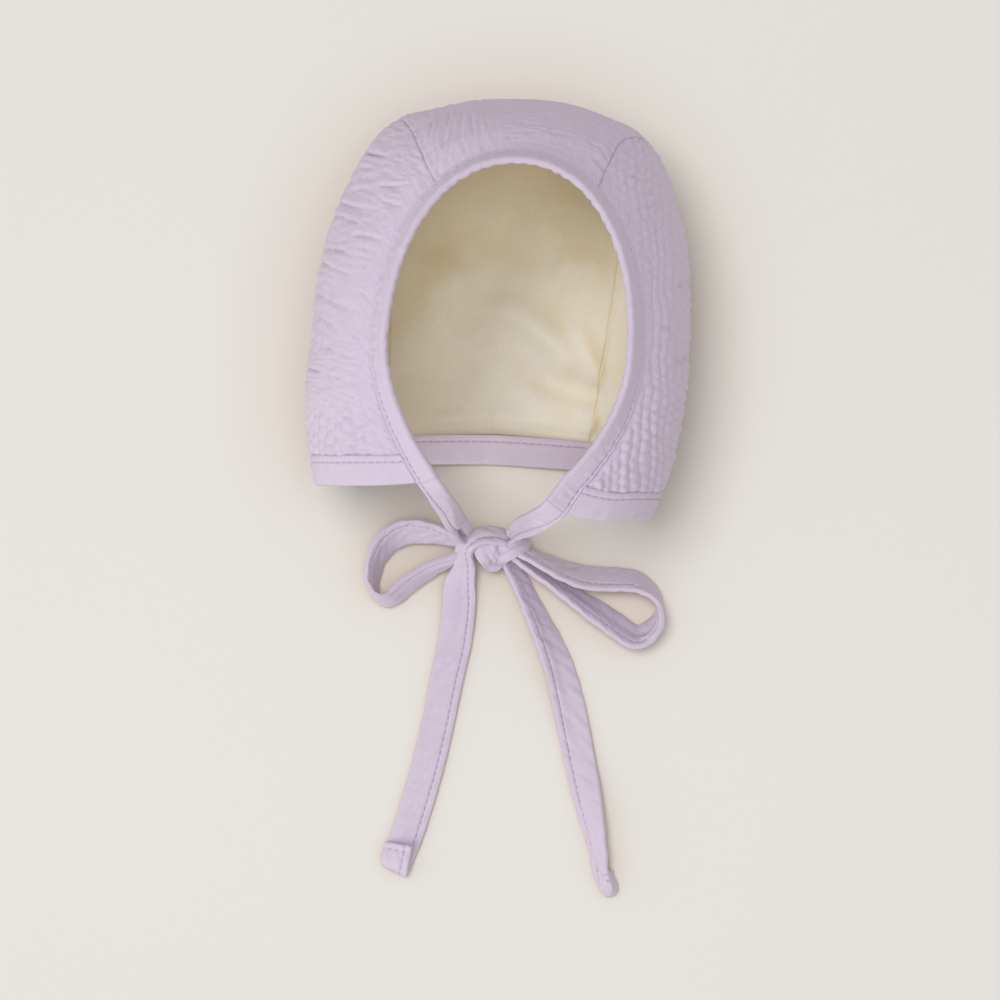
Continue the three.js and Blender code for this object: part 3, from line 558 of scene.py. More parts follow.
# Soft waves of the cloth: their height, and their size along and across, in millimetres.
WAVES = {
    "column drift": (0.42, 9.0, 13.0),
    "row drift": (0.35, 8.0, 9.0),
    "uneven puffs": (0.5, 5.0, 7.0),
    "long crinkle": (0.5, 7.5, 2.1),
    "cross crinkle": (0.35, 2.4, 6.0),
    "small crinkle": (0.25, 1.5, 1.5),
    "billows": (0.7, 26.0, 24.0),
    "binding gathers": (0.4, 1.9, 14.0),
    "seam gathers": (0.3, 2.2, 12.0),
    "neck gathers": (0.6, 2.3, 12.0),
    "back gathers": (1.0, 30.0, 5.5),
    "fine back gathers": (0.5, 16.0, 2.8),
    "left lines": (1.0, 3.4, 9.0),
    "fine left lines": (0.6, 1.9, 6.0),
    "upright lines": (1.0, 2.6, 12.0),
    "round lines": (1.0, 2.4, 16.0),
    "lining billows": (1.6, 19.0, 19.0),
    "lining crinkle": (0.45, 8.0, 7.0),
    "binding ripples": (0.16, 3.0, 6.0),
    "fine binding ripples": (0.1, 1.6, 3.0),
    "binding pleats": (0.35, 2.6, 12.0),
    "fine binding pleats": (0.18, 1.3, 9.0),
    "scallop drift": (1.5, 11.0, 1.0),
    "band ripples": (0.22, 5.0, 6.0),
    "fine band ripples": (0.15, 1.2, 16.0),
    "tie ripples": (0.42, 5.0, 8.0),
    "fine tie ripples": (0.2, 2.4, 5.0),
    "knot pleats": (1.0, 2.3, 30.0),
}

# Relief beside an edge: its height there, and how far it takes to die away.
BESIDE = {
    "binding puff": (0.9, 15.0),
    "binding crease": (1.2, 0.8),
    "binding gathers": (1.0, 6.0),
    "seam crease": (0.8, 0.6),
    "seam gathers": (1.0, 5.0),
    "neck gathers": (1.0, 4.0),
    "neck crease": (0.9, 0.7),
    "lining seam": (0.7, 1.2),
}

# Where relief begins and where it is in full, in millimetres from an edge or in the plan. The back
# and the end of the creases are shares of the way from the face to the nape.
RANGES = {
    "gathers": (0.0, 1.0),
    "billows": (2.0, 16.0),
    "cells": (0.5, 3.0),
    "right hem": (0.0, 22.0),
    "left hem": (22.0, 30.0),
    "left hem side": (45.0, 53.0),
    "left lines": (3.0, 9.0),
    "upright lines end": (-12.0, 4.0),
    "round lines": (-6.0, 10.0),
    "centre lines": (1.5, 5.0),
    "back": (0.34, 0.5),
    "creases end": (0.36, 0.5),
    "off the floor": (1.5, 9.0),
    "lining rim": (0.0, 12.0),
    "lining nape": (0.0, 7.0),
    "lining side": (0.0, 8.0),
}


def wave(name, u, v, seed, kind=soft_noise):
    """Soft waves, from their row in WAVES. With ridges as their kind they have narrow crests."""
    height, along, across = WAVES[name]
    return height * kind(u / along, v / across, seed)


def beside(name, distance):
    """The relief at a distance from its edge, from its row in BESIDE."""
    height, reach = BESIDE[name]
    return height * np.exp(-distance / reach)


def within(name, value):
    """How far a value is into its range in RANGES, from 0 to 1."""
    return smoothstep(value, *RANGES[name])


def line_distance(points, row):
    """How far points are from a curve through three places in the plan, and where along it."""
    x, y = points[..., 0], points[..., 1]
    t = np.linspace(0, 1, LINE_PIECES + 1)
    weights = [(1 - t) * (1 - 2 * t), 4 * t * (1 - t), t * (2 * t - 1)]
    line_x = sum(w * row[2 * k] for k, w in enumerate(weights))
    line_y = sum(w * row[2 * k + 1] for k, w in enumerate(weights))
    best = np.full(x.shape, np.inf)
    place = np.zeros(x.shape)
    for k in range(LINE_PIECES):
        way_x, way_y = line_x[k + 1] - line_x[k], line_y[k + 1] - line_y[k]
        off_x, off_y = x - line_x[k], y - line_y[k]
        share = np.clip((off_x * way_x + off_y * way_y) / (way_x ** 2 + way_y ** 2), 0, 1)
        far = np.hypot(off_x - share * way_x, off_y - share * way_y)
        side = np.sign(way_x * off_y - way_y * off_x)
        nearer = far < np.abs(best)
        best = np.where(nearer, side * far, best)
        place = np.where(nearer, (k + share) / LINE_PIECES, place)
    return best, place


# Creases: how narrow the step is, how deep, the shares of its puff and its valley, where the valley
# lies, and the shares of the line over which it fades in and out.
CREASE_EDGE = 0.6
CREASE_DEPTH = 2.2
CREASE_PUFF = 0.5
CREASE_VALLEY = 0.7
VALLEY_PLACE = -0.3
LINE_START = 0.2
CREASE_FADE = 0.45
FOLD_FADE = 0.6


def crease_height(points, rows):
    """Creases: a narrow valley along each line, with a low puff on its left hand."""
    height = np.zeros(points.shape[:-1])
    for row in rows:
        step, reach = row[6], row[7]
        away, place = line_distance(points, row)
        fade = smoothstep(place, 0, LINE_START) * (1 - smoothstep(place, CREASE_FADE, 1))
        raised = 0.5 * (1 + np.tanh(away / CREASE_EDGE)) * np.exp(-np.maximum(away, 0) / reach)
        valley = bell(away - VALLEY_PLACE, CREASE_EDGE)
        height += CREASE_DEPTH * step * fade * (CREASE_PUFF * raised - CREASE_VALLEY * valley)
    return height


def fold_height(points, rows):
    """Soft rounded folds along each line."""
    height = np.zeros(points.shape[:-1])
    for row in rows:
        away, place = line_distance(points, row)
        fade = smoothstep(place, 0, LINE_START) * (1 - smoothstep(place, FOLD_FADE, 1))
        height += row[6] * fade * bell(away, row[7])
    return height


# The puffed cells: their size, how square they are, their mean height, how much of that height the
# valleys between cells of one column keep, and the level about which the cells rise and fall.
PUFF_WIDTH = 3.8
PUFF_LENGTH = 4.2
PUFF_SQUARENESS = 0.6
PUFF_HEIGHT = 0.8
PUFF_KEPT = 0.25
PUFF_LEVEL = 0.45


def puckers(u, v, seed):
    """The puckered cells of washed double gauze: puffs in uneven, staggered columns."""
    column = u / PUFF_WIDTH + wave("column drift", u, v, seed + 1)
    row = v / PUFF_LENGTH + 0.5 * np.floor(column) + wave("row drift", u, v, seed + 2)
    across_column = np.abs(np.sin(math.pi * column)) ** PUFF_SQUARENESS
    along_column = np.abs(np.sin(math.pi * row)) ** PUFF_SQUARENESS
    height = PUFF_HEIGHT + wave("uneven puffs", u, v, seed + 3)
    return across_column * (PUFF_KEPT + (1 - PUFF_KEPT) * along_column) * height - PUFF_LEVEL


def fine_crinkle(u, v, seed):
    """The light crinkle all over the cloth."""
    crinkles = ("long crinkle", "cross crinkle", "small crinkle")
    return sum(wave(name, u, v, seed + k) for k, name in enumerate(crinkles))


# How much of a panel lies hidden under the binding and under the neck band, and how quickly the
# puff beside the binding rises.
TUCK = 1.5
PUFF_RISE = 2.2

# The dip beside a panel seam: its depth, place and width.
SEAM_DIP = 0.35
SEAM_DIP_PLACE = 2.6
SEAM_DIP_WIDTH = 1.8

# The puff by the neck band, the gathers of the back, and the lowest that the outer cloth may lie.
NECK_PUFF = 0.6
BACK_GATHER = 0.9
OUTER_DEEPEST = -1.0
OUTER_SEED = 40

# Puffed cells and lines of the fronts of the panels, in depths of crinkle. The right side's cells
# have only a share of their height in its upper part.
RIGHT_CELLS = 6.5
RIGHT_UPPER_SHARE = 0.75
LEFT_CELLS = 7.0
LEFT_LINES = 1.5
CENTRE_LINES = 1.8

# The right side's cells lean. The left side's are larger, so their places count for less, and run
# from right to left. Its lines lean too.
CELL_LEAN = 0.15
LEFT_CELL_SCALE = (-0.6, 0.8)
LEFT_LINE_LEAN = 0.3
FINE_LINE_LEAN = 0.2


def edge_relief(u, v, to_start, ends, side, seed):
    """Puffs, gathers and creases beside the binding, the panel seams and the neck band."""
    to_end = ends[0] - u
    to_seam = np.minimum(v, ends[1] - v) if side == 0 else v
    to_neck = np.maximum((to_end if side == 0 else np.minimum(ends[1] - v, to_end)) - TUCK, 0)
    height = beside("binding puff", to_start) * (1 - np.exp(-to_start / PUFF_RISE))
    height -= beside("binding crease", to_start)
    binding_gathers = wave("binding gathers", v, u, seed) * beside("binding gathers", to_start)
    height += binding_gathers * within("gathers", to_start)
    height -= beside("seam crease", to_seam) + SEAM_DIP * bell(to_seam - SEAM_DIP_PLACE, SEAM_DIP_WIDTH)
    height += wave("seam gathers", u, to_seam, seed + 1) * beside("seam gathers", to_seam)
    neck_gathers = wave("neck gathers", u if side else v, to_neck, seed + 2) + NECK_PUFF
    height += neck_gathers * beside("neck gathers", to_neck) * within("gathers", to_neck)
    return height - beside("neck crease", to_neck)


def right_relief(points, to_start, v, seed):
    """Rows of puffed cells, stronger towards the hem."""
    x, y, z = (points[..., k] for k in range(3))
    cells = puckers(x - CELL_LEAN * z, y, seed + 5) * within("cells", to_start)
    return RIGHT_CELLS * (RIGHT_UPPER_SHARE + (1 - RIGHT_UPPER_SHARE) * within("right hem", -y)) * cells


def left_relief(points, to_start, v, seed):
    """Puffed cells at the hem, and fine lines across the rest."""
    x, y, z = (points[..., k] for k in range(3))
    wide, long = LEFT_CELL_SCALE
    cells = puckers(wide * (x + z), long * y, seed + 5) * within("cells", to_start)
    at_hem = within("left hem", -y) * within("left hem side", -x)
    lines = wave("left lines", y + LEFT_LINE_LEAN * x, x, seed + 6, ridges)
    lines = lines + wave("fine left lines", y + FINE_LINE_LEAN * x, x, seed + 7, ridges)
    return LEFT_CELLS * at_hem * cells + LEFT_LINES * lines * within("left lines", to_start) * (1 - at_hem)


def centre_relief(points, to_start, v, seed):
    """Upright lines at the left, and lines round the binding at the right."""
    x, y = points[..., 0], points[..., 1]
    upright = wave("upright lines", x, y, seed + 6, ridges) * (1 - within("upright lines end", x))
    around = wave("round lines", to_start, v, seed + 7, ridges) * within("round lines", x)
    return CENTRE_LINES * (upright + around) * within("centre lines", to_start)


# The front of each outer panel, by its side of the middle one.
FRONTS = {
    -1: (left_relief, LEFT_CREASES),
    0: (centre_relief, CENTRE_CREASES),
    1: (right_relief, RIGHT_CREASES),
}


def outer_relief(points, u, v, ends, side, settings):
    """How far the outer cloth stands out. u and v run from the binding and from the first side."""
    seed = OUTER_SEED + 10 * side
    amount = settings.crinkle / MM
    front_relief, creases = FRONTS[side]
    to_start = np.maximum(u - TUCK, 0)
    share = u / ends[0]
    back = within("back", share)
    height = edge_relief(u, v, to_start, ends, side, seed)
    height += wave("billows", u, v, seed + 3) * within("billows", to_start)
    height += amount * fine_crinkle(u, v, seed + 4)
    height += amount * front_relief(points, to_start, v, seed) * (1 - back)
    gathers = wave("back gathers", u, v, seed + 8) + wave("fine back gathers", u, v, seed + 9)
    height += BACK_GATHER * back * gathers * within("off the floor", points[..., 2])
    height += crease_height(points, creases) * (1 - within("creases end", share))
    return np.maximum(height, OUTER_DEEPEST)


# Meshes

def new_object(name, points, faces, loop_uv, smooth, material):
    """An object from points in millimetres, with a cloth map in them too and a mask of smooth faces."""
    points = np.asarray(points, float)
    points[:, 2] = np.maximum(points[:, 2], 0)
    mesh = bpy.data.meshes.new(name)
    mesh.vertices.add(len(points))
    mesh.vertices.foreach_set("co", (points * MM).astype(np.float32).ravel())
    faces = np.asarray(faces, dtype=np.int32)
    mesh.loops.add(faces.size)
    mesh.loops.foreach_set("vertex_index", faces.ravel())
    mesh.polygons.add(len(faces))
    mesh.polygons.foreach_set("loop_start", np.arange(0, faces.size, faces.shape[1], dtype=np.int32))
    mesh.update(calc_edges=True)
    mesh.polygons.foreach_set("use_smooth", np.asarray(smooth, dtype=bool))
    layer = mesh.uv_layers.new(name="cloth")
    layer.data.foreach_set("uv", np.asarray(loop_uv, dtype=np.float32).ravel())
    mesh.validate()
    mesh.materials.append(material)
    obj = bpy.data.objects.new(name, mesh)
    bpy.context.scene.collection.objects.link(obj)
    return obj


def turned_outwards(points, faces, loop_uv):
    """The faces in the order that makes them face out of the closed mesh."""
    a, b, c, d = (points[faces[:, k]] for k in range(4))
    six = np.sum(a * np.cross(b, c)) + np.sum(a * np.cross(c, d))
    if six < 0:
        return faces[:, ::-1], loop_uv[:, ::-1]
    return faces, loop_uv


def wall_object(name, outer, inner, u, v, material):
    """A closed wall of cloth between two grids of points. Its rim is not shaded smooth."""
    rows, columns = outer.shape[:2]
    ids = np.arange(rows * columns).reshape(rows, columns)
    back = ids + rows * columns

    def quads(a, b, c, d):
        return np.stack([a, b, c, d], axis=-1).reshape(-1, 4)

    sheets = [
        quads(ids[:-1, :-1], ids[1:, :-1], ids[1:, 1:], ids[:-1, 1:]),
        quads(back[:-1, :-1], back[:-1, 1:], back[1:, 1:], back[1:, :-1]),
    ]
    rim = [
        quads(ids[:-1, 0], back[:-1, 0], back[1:, 0], ids[1:, 0]),
        quads(ids[:-1, -1], ids[1:, -1], back[1:, -1], back[:-1, -1]),
        quads(ids[0, :-1], ids[0, 1:], back[0, 1:], back[0, :-1]),
        quads(ids[-1, :-1], back[-1, :-1], back[-1, 1:], ids[-1, 1:]),
    ]
    faces = np.concatenate(sheets + rim)
    smooth = np.arange(len(faces)) < 2 * len(sheets[0])
    points = np.concatenate([outer.reshape(-1, 3), inner.reshape(-1, 3)])
    flat = np.stack([u, v], axis=-1).reshape(-1, 2)
    uv = np.concatenate([flat, flat])[faces]
    faces, uv = turned_outwards(points, faces, uv)
    return new_object(name, points, faces, uv, smooth, material)


def tube_parts(rings):
    """The points, faces, cloth map and smooth faces of a closed tube through rings of points."""
    count, sides = rings.shape[:2]
    ids = np.arange(count * sides).reshape(count, sides)
    nxt = np.roll(ids, -1, axis=1)
    faces = np.stack([ids[:-1], nxt[:-1], nxt[1:], ids[1:]], axis=-1).reshape(-1, 4)
    along = run_length(rings, 0).mean(axis=1)
    ring_step = np.linalg.norm(np.roll(rings, -1, axis=1) - rings, axis=-1).mean(axis=0)
    around = np.concatenate([[0], np.cumsum(ring_step)])
    shape = (count - 1, sides)
    u0, u1 = np.broadcast_to(along[:-1, None], shape), np.broadcast_to(along[1:, None], shape)
    v0, v1 = np.broadcast_to(around[:-1], shape), np.broadcast_to(around[1:], shape)
    corners = [np.stack(pair, axis=-1) for pair in ((u0, v0), (u0, v1), (u1, v1), (u1, v0))]
    uv = np.stack(corners, axis=2).reshape(-1, 4, 2)
    points = np.concatenate([rings.reshape(-1, 3), rings[[0, -1]].mean(axis=1)])
    pairs = np.arange(0, sides, 2)
    caps = []
    for middle, ring, turn in ((count * sides, ids[0], -1), (count * sides + 1, ids[-1], 1)):
        fan = [ring[pairs], ring[(pairs + 1) % sides], ring[(pairs + 2) % sides]][::turn]
        caps.append(np.stack([np.full(len(pairs), middle), *fan], axis=-1))
    smooth = np.arange(len(faces) + 2 * len(pairs)) < len(faces)
    faces = np.concatenate([faces, *caps])
    uv = np.concatenate([uv, np.zeros((2 * len(pairs), 4, 2))])
    return points, *turned_outwards(points, faces, uv), smooth


def joined_object(name, parts, material):
    """One object of several closed bodies, each as tube_parts gives it."""
    starts = np.cumsum([0] + [len(part[0]) for part in parts[:-1]])
    points, uv, smooth = (np.concatenate([part[k] for part in parts]) for k in (0, 2, 3))
    faces = np.concatenate([part[1] + start for part, start in zip(parts, starts)])
    return new_object(name, points, faces, uv, smooth, material)


def lit_together(name):
    """The collection of the objects that a light of that name falls on."""
    return bpy.data.collections.get(name) or bpy.data.collections.new(name)


def placed(obj, nodes, slot):
    """The object, riding on the bonnet in place of its CAD nodes, in the group that its light falls on."""
    lit_together("lining" if slot == "cream_lining" else "shell").objects.link(obj)
    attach(obj, "root")
    if nodes:
        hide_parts(*nodes)
    return obj


# Panels

# The grid of each kind of panel: rows from the face to the back, columns across, and the shares of
# the rows and of the way back over which the rows lie closer.
OUTER_GRIDS = {0: (238, 156, (0.56, 0.34)), 1: (204, 234, (0.72, 0.54))}
LINING_GRIDS = {0: (100, 66, (0.5, 0.5)), 1: (100, 90, (0.5, 0.5))}

# How far a panel reaches under the binding, and where the lining ends at the nape, as places along.
OUTER_UNDER = 0.012
LINING_UNDER = 0.008
LINING_END = 0.995
LINING_SEED = 7


def spaced(count, dense_rows, dense_share):
    """Shares from 0 to 1 that lie closer together up to dense_share."""
    return np.interp(np.linspace(0, 1, count), [0, dense_rows, 1], [0, dense_share, 1])


def panel_grid(side, start, end, seams, grid, coarse):
    """The places of a panel's grid points: rows from the face to the back, columns across.

    seams: the places across of the left and right seams of the centre panel.
    grid: a row of OUTER_GRIDS or LINING_GRIDS."""
    rows, columns, front = grid
    rows, columns = round(rows / coarse), round(columns / coarse)
    i, j = np.meshgrid(spaced(rows, *front), np.linspace(0, 1, columns), indexing="ij")
    first, last = {-1: (seams[0], -end), 0: seams, 1: (seams[1], end)}[side]
    across = first + (last - first) * j
    return start + (end - start) * i, across


def outer_panel(name, node, side, settings, material):
    """An outer panel of gauze. side is -1, 0 or 1 for the left, middle or right one."""
    seams = (-SEAM_ACROSS, SEAM_ACROSS)
    grid = OUTER_GRIDS[abs(side)]
    along, across = panel_grid(side, BINDING_SEAM - OUTER_UNDER, 1.0, seams, grid, settings.coarse)
    base = hood_point(along, across)
    normal = hood_normal(along, across)
    u, v = run_length(base, 0), run_length(base, 1)
    relief = outer_relief(base, u, v, (u[-1:, :], v[:, -1:]), side, settings)
    outer = base + normal * relief[..., None]
    inner = base - normal * OUTER_THICKNESS
    obj = wall_object(name, outer, inner, u, v, material)
    placed(obj, [node], "lilac_gauze")
    return obj


def lining_relief(base, u, v, side):
    """How far the lining hangs into the hood: slack and soft folds, held at the sewn edges."""
    edge = within("lining rim", u) * within("lining nape", u[-1:, :] - u)
    if side:
        edge = edge * within("lining side", v[:, -1:] - v)
    x, y = base[..., 0], base[..., 1]
    relief = fold_height(base, LINING_FOLDS)
    relief += wave("lining billows", x, y, LINING_SEED)
    relief += wave("lining crinkle", x, y, LINING_SEED + 1)
    relief = np.maximum(relief + LINING_SLACK, LINING_DEEPEST) * edge
    if side:
        relief += beside("lining seam", v) * edge
    return relief


def lining_panel(name, node, side, settings, material):
    """A panel of the lining. side is -1, 0 or 1 for the left, middle or right one."""
    lap = LINING_LAP if side else 0.0
    seams = (LINING_SEAMS[0] + lap, LINING_SEAMS[1] - lap)
    grid = LINING_GRIDS[abs(side)]
    along, across = panel_grid(side, BINDING_SEAM - LINING_UNDER, LINING_END, seams, grid, settings.coarse)
    base = hood_point(along, across)
    normal = hood_normal(along, across)
    u, v = run_length(base, 0), run_length(base, 1)
    relief = lining_relief(base, u, v, side)
    inner = base - normal * (LINING_DEPTH + LINING_THICKNESS + relief)[..., None]
    outer = base - normal * LINING_DEPTH
    obj = wall_object(name, outer, inner, u, v, material)
    placed(obj, [node], "cream_lining")
    return obj


# Bands and tapes

# The points of a tape's section: round its edges, and over its faces, close together by the stitches.
EDGE_POINTS = 7
BEFORE_STITCH = np.linspace(0, 1, 10)[:-1]
NEAR_STITCH = np.array([-1.1, -0.7, -0.44, -0.26, -0.12, 0.0, 0.12, 0.26, 0.44, 0.7])
AFTER_STITCH = np.linspace(0, 1, 5)[1:]
FACE_POINTS = len(BEFORE_STITCH) + len(NEAR_STITCH) + len(AFTER_STITCH)
STITCH_POINT = len(BEFORE_STITCH) + list(NEAR_STITCH).index(0.0)

# How far its folded edge and its stitched edge round off, as shares of half its thickness, and how
# much of the room beside the stitches their points may take.
FOLD_ROUND = 0.8
STITCHED_ROUND = 0.45
LIP_ROOM = 0.9

# The groove of the stitches, the swelling between them and the edge, the one on their other side,
# and the parting of the two layers at the edge.
GROOVE_DEPTH = 0.45
GROOVE_WIDTH = 0.3
LIP_SWELL = 0.22
LIP_SWELL_SHIFT = 0.15
LIP_SWELL_SHARE = 0.32
INNER_SWELL = 0.1
INNER_SWELL_PLACE = 1.2
INNER_SWELL_WIDTH = 0.7
PARTING = 0.5
PARTING_WIDTH = 0.4


def tape_section(width, thickness, lip, crown=0.12):
    """The outline of a folded tape, stitched at a distance lip from its edge at +width / 2.

    Gives one row of places across the tape and one through it for each width."""
    sizes = (width, thickness, lip)
    width, thickness, lip = (np.atleast_1d(np.asarray(value, float))[:, None] for value in sizes)
    half = thickness / 2
    front_flat, back_flat = width / 2 - FOLD_ROUND * half, width / 2 - STITCHED_ROUND * half
    stitch = width / 2 - lip
    room = np.minimum((back_flat - stitch) / LIP_ROOM, 1)
    near = stitch + NEAR_STITCH * np.where(NEAR_STITCH > 0, room, 1)
    before = -front_flat + (near[:, :1] + front_flat) * BEFORE_STITCH
    after = near[:, -1:] + (back_flat - near[:, -1:]) * AFTER_STITCH
    across = np.concatenate([before, near, after], axis=1)
    rise = half + crown * (1 - (across / front_flat) ** 2)
    rise = rise - GROOVE_DEPTH * bell(across - stitch, GROOVE_WIDTH)
    lip_middle = (stitch + back_flat) / 2 + LIP_SWELL_SHIFT
    rise = rise + LIP_SWELL * bell(across - lip_middle, LIP_SWELL_SHARE * lip)
    rise = rise + INNER_SWELL * bell(across - stitch + INNER_SWELL_PLACE, INNER_SWELL_WIDTH)
    turn = np.linspace(-math.pi / 2, math.pi / 2, EDGE_POINTS + 2)[1:-1][None, :]
    level = half * np.sin(turn)
    front = -front_flat - FOLD_ROUND * half * np.cos(turn)
    back = back_flat + STITCHED_ROUND * half * np.cos(turn) * (1 - PARTING * bell(turn, PARTING_WIDTH))
    shape = (len(across), EDGE_POINTS)
    level, front, back = (np.broadcast_to(edge, shape) for edge in (level, front, back))
    a = np.concatenate([front, across, back[:, ::-1], across[:, ::-1]], axis=1)
    b = np.concatenate([level, rise, level[:, ::-1], -rise[:, ::-1]], axis=1)
    return a, b


# The places of the stitch line in a section, on its outer and on its inner face.
STITCHED = (EDGE_POINTS + STITCH_POINT, 2 * EDGE_POINTS + 2 * FACE_POINTS - 1 - STITCH_POINT)

# The lengths of the binding and of the neck band, the place along where the binding ends, and how
# far its lower edge may reach past that, as a share of its width.
RIM_LENGTH = 330
NECK_LENGTH = 300
BINDING_END = BINDING_SEAM + 0.003
BINDING_PAST = 1.1

# How far back along the hood, as a share, a place just behind the rim lies.
JUST_BEHIND = 0.01

# The binding is gathered inside, more towards its stitches, and its inner face is scalloped.
GATHER_START, GATHER_FULL = -0.35, 0.2
SCALLOP = 0.5
SCALLOP_WIDTH = 5.2
SCALLOP_LEVEL = 0.4
BINDING_SEED = 21
BAND_SEED = 31


def binding_rings(settings):
    """Rings of the whole face binding, from the left chin corner over the crown to the right one."""
    end = 1 + BAND_WIDTH / BAND_SCALE
    across = np.linspace(-end, end, int(RIM_LENGTH * MM / settings.tape_cell))
    rim, seam = hood_point(0.0, across), hood_point(BINDING_END, across)
    width = np.linalg.norm(seam - rim, axis=-1)
    a, b = tape_section(width, 0 * width + BAND_THICKNESS, 0 * width + settings.lip / MM)
    run = run_length(rim, 0)[:, None]
    share = a / width[:, None]
    ripples = wave("binding ripples", run, a, BINDING_SEED)
    ripples = ripples + wave("fine binding ripples", run, a, BINDING_SEED + 1)
    pleats = wave("binding pleats", run, a, BINDING_SEED + 2)
    pleats = pleats + wave("fine binding pleats", run, a, BINDING_SEED + 3)
    pleats = pleats * smoothstep(share, GATHER_START, GATHER_FULL)
    drift = wave("scallop drift", run, 0 * a, BINDING_SEED + 4)
    scallop = SCALLOP * np.abs(np.sin(run * math.pi / SCALLOP_WIDTH + drift)) - SCALLOP_LEVEL
    b = b + settings.ripple * np.where(b > 0, ripples + pleats, ripples - scallop)
    share = share + 0.5
    depth = BAND_THICKNESS / 2 - BAND_PROUD - b
    place = np.clip(share, 0, BINDING_PAST) * BINDING_END
    ring = cloth_point(place, np.broadcast_to(across[:, None], a.shape), depth)
    forward = unit(rim - hood_point(JUST_BEHIND, across))
    return ring + forward[:, None, :] * np.maximum(-share, 0)[..., None] * width[:, None, None]


def band_rings(settings):
    """Rings of the neck band, from its folded lower edge to its stitched upper edge."""
    around = np.linspace(-1, 1, int(NECK_LENGTH * MM / settings.tape_cell))
    seam, lower = hood_point(*neck_place(around)), hood_point(*neck_place(around, BAND_WIDTH))
    down, normal = unit(lower - seam), neck_normal(around)
    width = np.full(len(around), BAND_WIDTH + BAND_LAP)
    a, b = tape_section(width, 0 * width + BAND_THICKNESS, 0 * width + settings.band_lip / MM)
    run = run_length(seam, 0)[:, None]
    ripples = wave("band ripples", run, a, BAND_SEED) + wave("fine band ripples", run, a, BAND_SEED + 1)
    b = b + settings.ripple * ripples
    drop = (BAND_WIDTH - BAND_LAP) / 2 - a
    depth = BAND_THICKNESS / 2 - BAND_PROUD - b
    return seam[:, None, :] + down[:, None, :] * drop[..., None] - normal[:, None, :] * depth[..., None]


# A tape's middle line is measured in this many steps for each row, and has at least so many rings.
LINE_STEPS = 60
FEWEST_RINGS = 8


def ribbon_frames(rows, spacing, carried=0):
    """Places, directions and sizes at even steps along a tape's table.

    Over its last rows, as many as carried, the tape bends without a twist and roll isn't used."""
    table = np.array(rows, float)
    places = np.arange(len(table))
    fine = np.linspace(0, len(table) - 1, LINE_STEPS * len(table))
    line = np.stack([smooth_value(places, table[:, k], fine) for k in range(3)], axis=-1)
    far = run_length(line, 0)
    count = max(int(far[-1] / spacing), FEWEST_RINGS)
    at = np.interp(np.linspace(0, far[-1], count), far, fine)
    values = [smooth_value(places, table[:, k], at) for k in range(len(RIBBON_COLUMNS))]
    middle = np.stack(values[:3], axis=-1)
    heading = unit(np.gradient(middle, axis=0))
    width, roll, fold, fold_at = values[3:]
    level = unit(np.cross(np.array([0.0, 0.0, 1.0]), heading))
    upright = np.cross(heading, level)
    turn = np.radians(roll)[:, None]
    across = level * np.cos(turn) + upright * np.sin(turn)
    face = -level * np.sin(turn) + upright * np.cos(turn)
    if carried:
        for k in range(np.searchsorted(at, len(table) - 1 - carried), count):
            across[k] = unit(across[k - 1] - heading[k] * (across[k - 1] @ heading[k]))
            face[k] = np.cross(heading[k], across[k])
    return {"middle": middle, "heading": heading, "across": across, "face": face, "width": width,
            "fold": fold, "fold_at": fold_at, "run": run_length(middle, 0)}


# A tape folds along its length: a broad ridge reaches this share of its width to each side, and a
# narrow valley this one. Its ripples run askew.
RIDGE_SHARE = 0.6
VALLEY_SHARE = 0.13
RIPPLE_LEAN = 1.3


def folded_section(frames, thickness, lip, seed, crown=0.15, pleat=0.0):
    """The section of a tape at each frame, with its lengthwise folds and soft ripples."""
    width = frames["width"]
    a, b = tape_section(width, 0 * width + thickness, lip, crown)
    run, fold = frames["run"][:, None], frames["fold"][:, None]
    off = a / width[:, None] - frames["fold_at"][:, None]
    ridge = np.maximum(-fold, 0) * np.maximum(1 - np.abs(off) / RIDGE_SHARE, 0)
    valley = np.maximum(fold, 0) * bell(off, VALLEY_SHARE)
    ripples = wave("tie ripples", run + RIPPLE_LEAN * a, a, seed)
    ripples = ripples + wave("fine tie ripples", run + a, a, seed + 1)
    return a, b + ridge - valley + ripples + pleat * wave("knot pleats", a, run, seed + 2, ridges)


def ribbon_rings(frames, a, b):
    """Rings of a tape: its section laid out on its frames."""
    rings = frames["middle"][:, None, :] + frames["across"][:, None, :] * a[..., None]
    return rings + frames["face"][:, None, :] * b[..., None]


# How far a tie takes to turn from the binding's own last ring into a flat tape, how far its stitches
# take to move in from the edge, and the stretch next to the binding that keeps its direction.
JOIN_REACH = 13.0
LIP_REACH = 28.0
LOCK_REACH = 3.0

# The most of a tie's width that its stitches move in, and how close to the floor it may lie.
LIP_SHARE = 0.34
LOWEST = 0.1
TIE_SEED = 60

# The folded end of a tie swells by its last rings, and is drawn in by the stitches across it.
HEM_SWELL = 0.45
HEM_SWELL_RING = 2.5
HEM_SWELL_WIDTH = 1.4
HEM_GROOVE = 0.45
HEM_GROOVE_WIDTH = 0.8


def ring_middle(ring):
    """The middle between the two edges of a tape's ring, and its directions across and outwards."""
    faces = EDGE_POINTS + FACE_POINTS
    fold, front = ring[:EDGE_POINTS], ring[EDGE_POINTS:faces]
    edge, back = ring[faces:faces + EDGE_POINTS], ring[faces + EDGE_POINTS:]
    middle = (fold[EDGE_POINTS // 2] + edge[EDGE_POINTS // 2]) / 2
    return middle, unit(edge.mean(axis=0) - fold.mean(axis=0)), unit(front.mean(axis=0) - back.mean(axis=0))


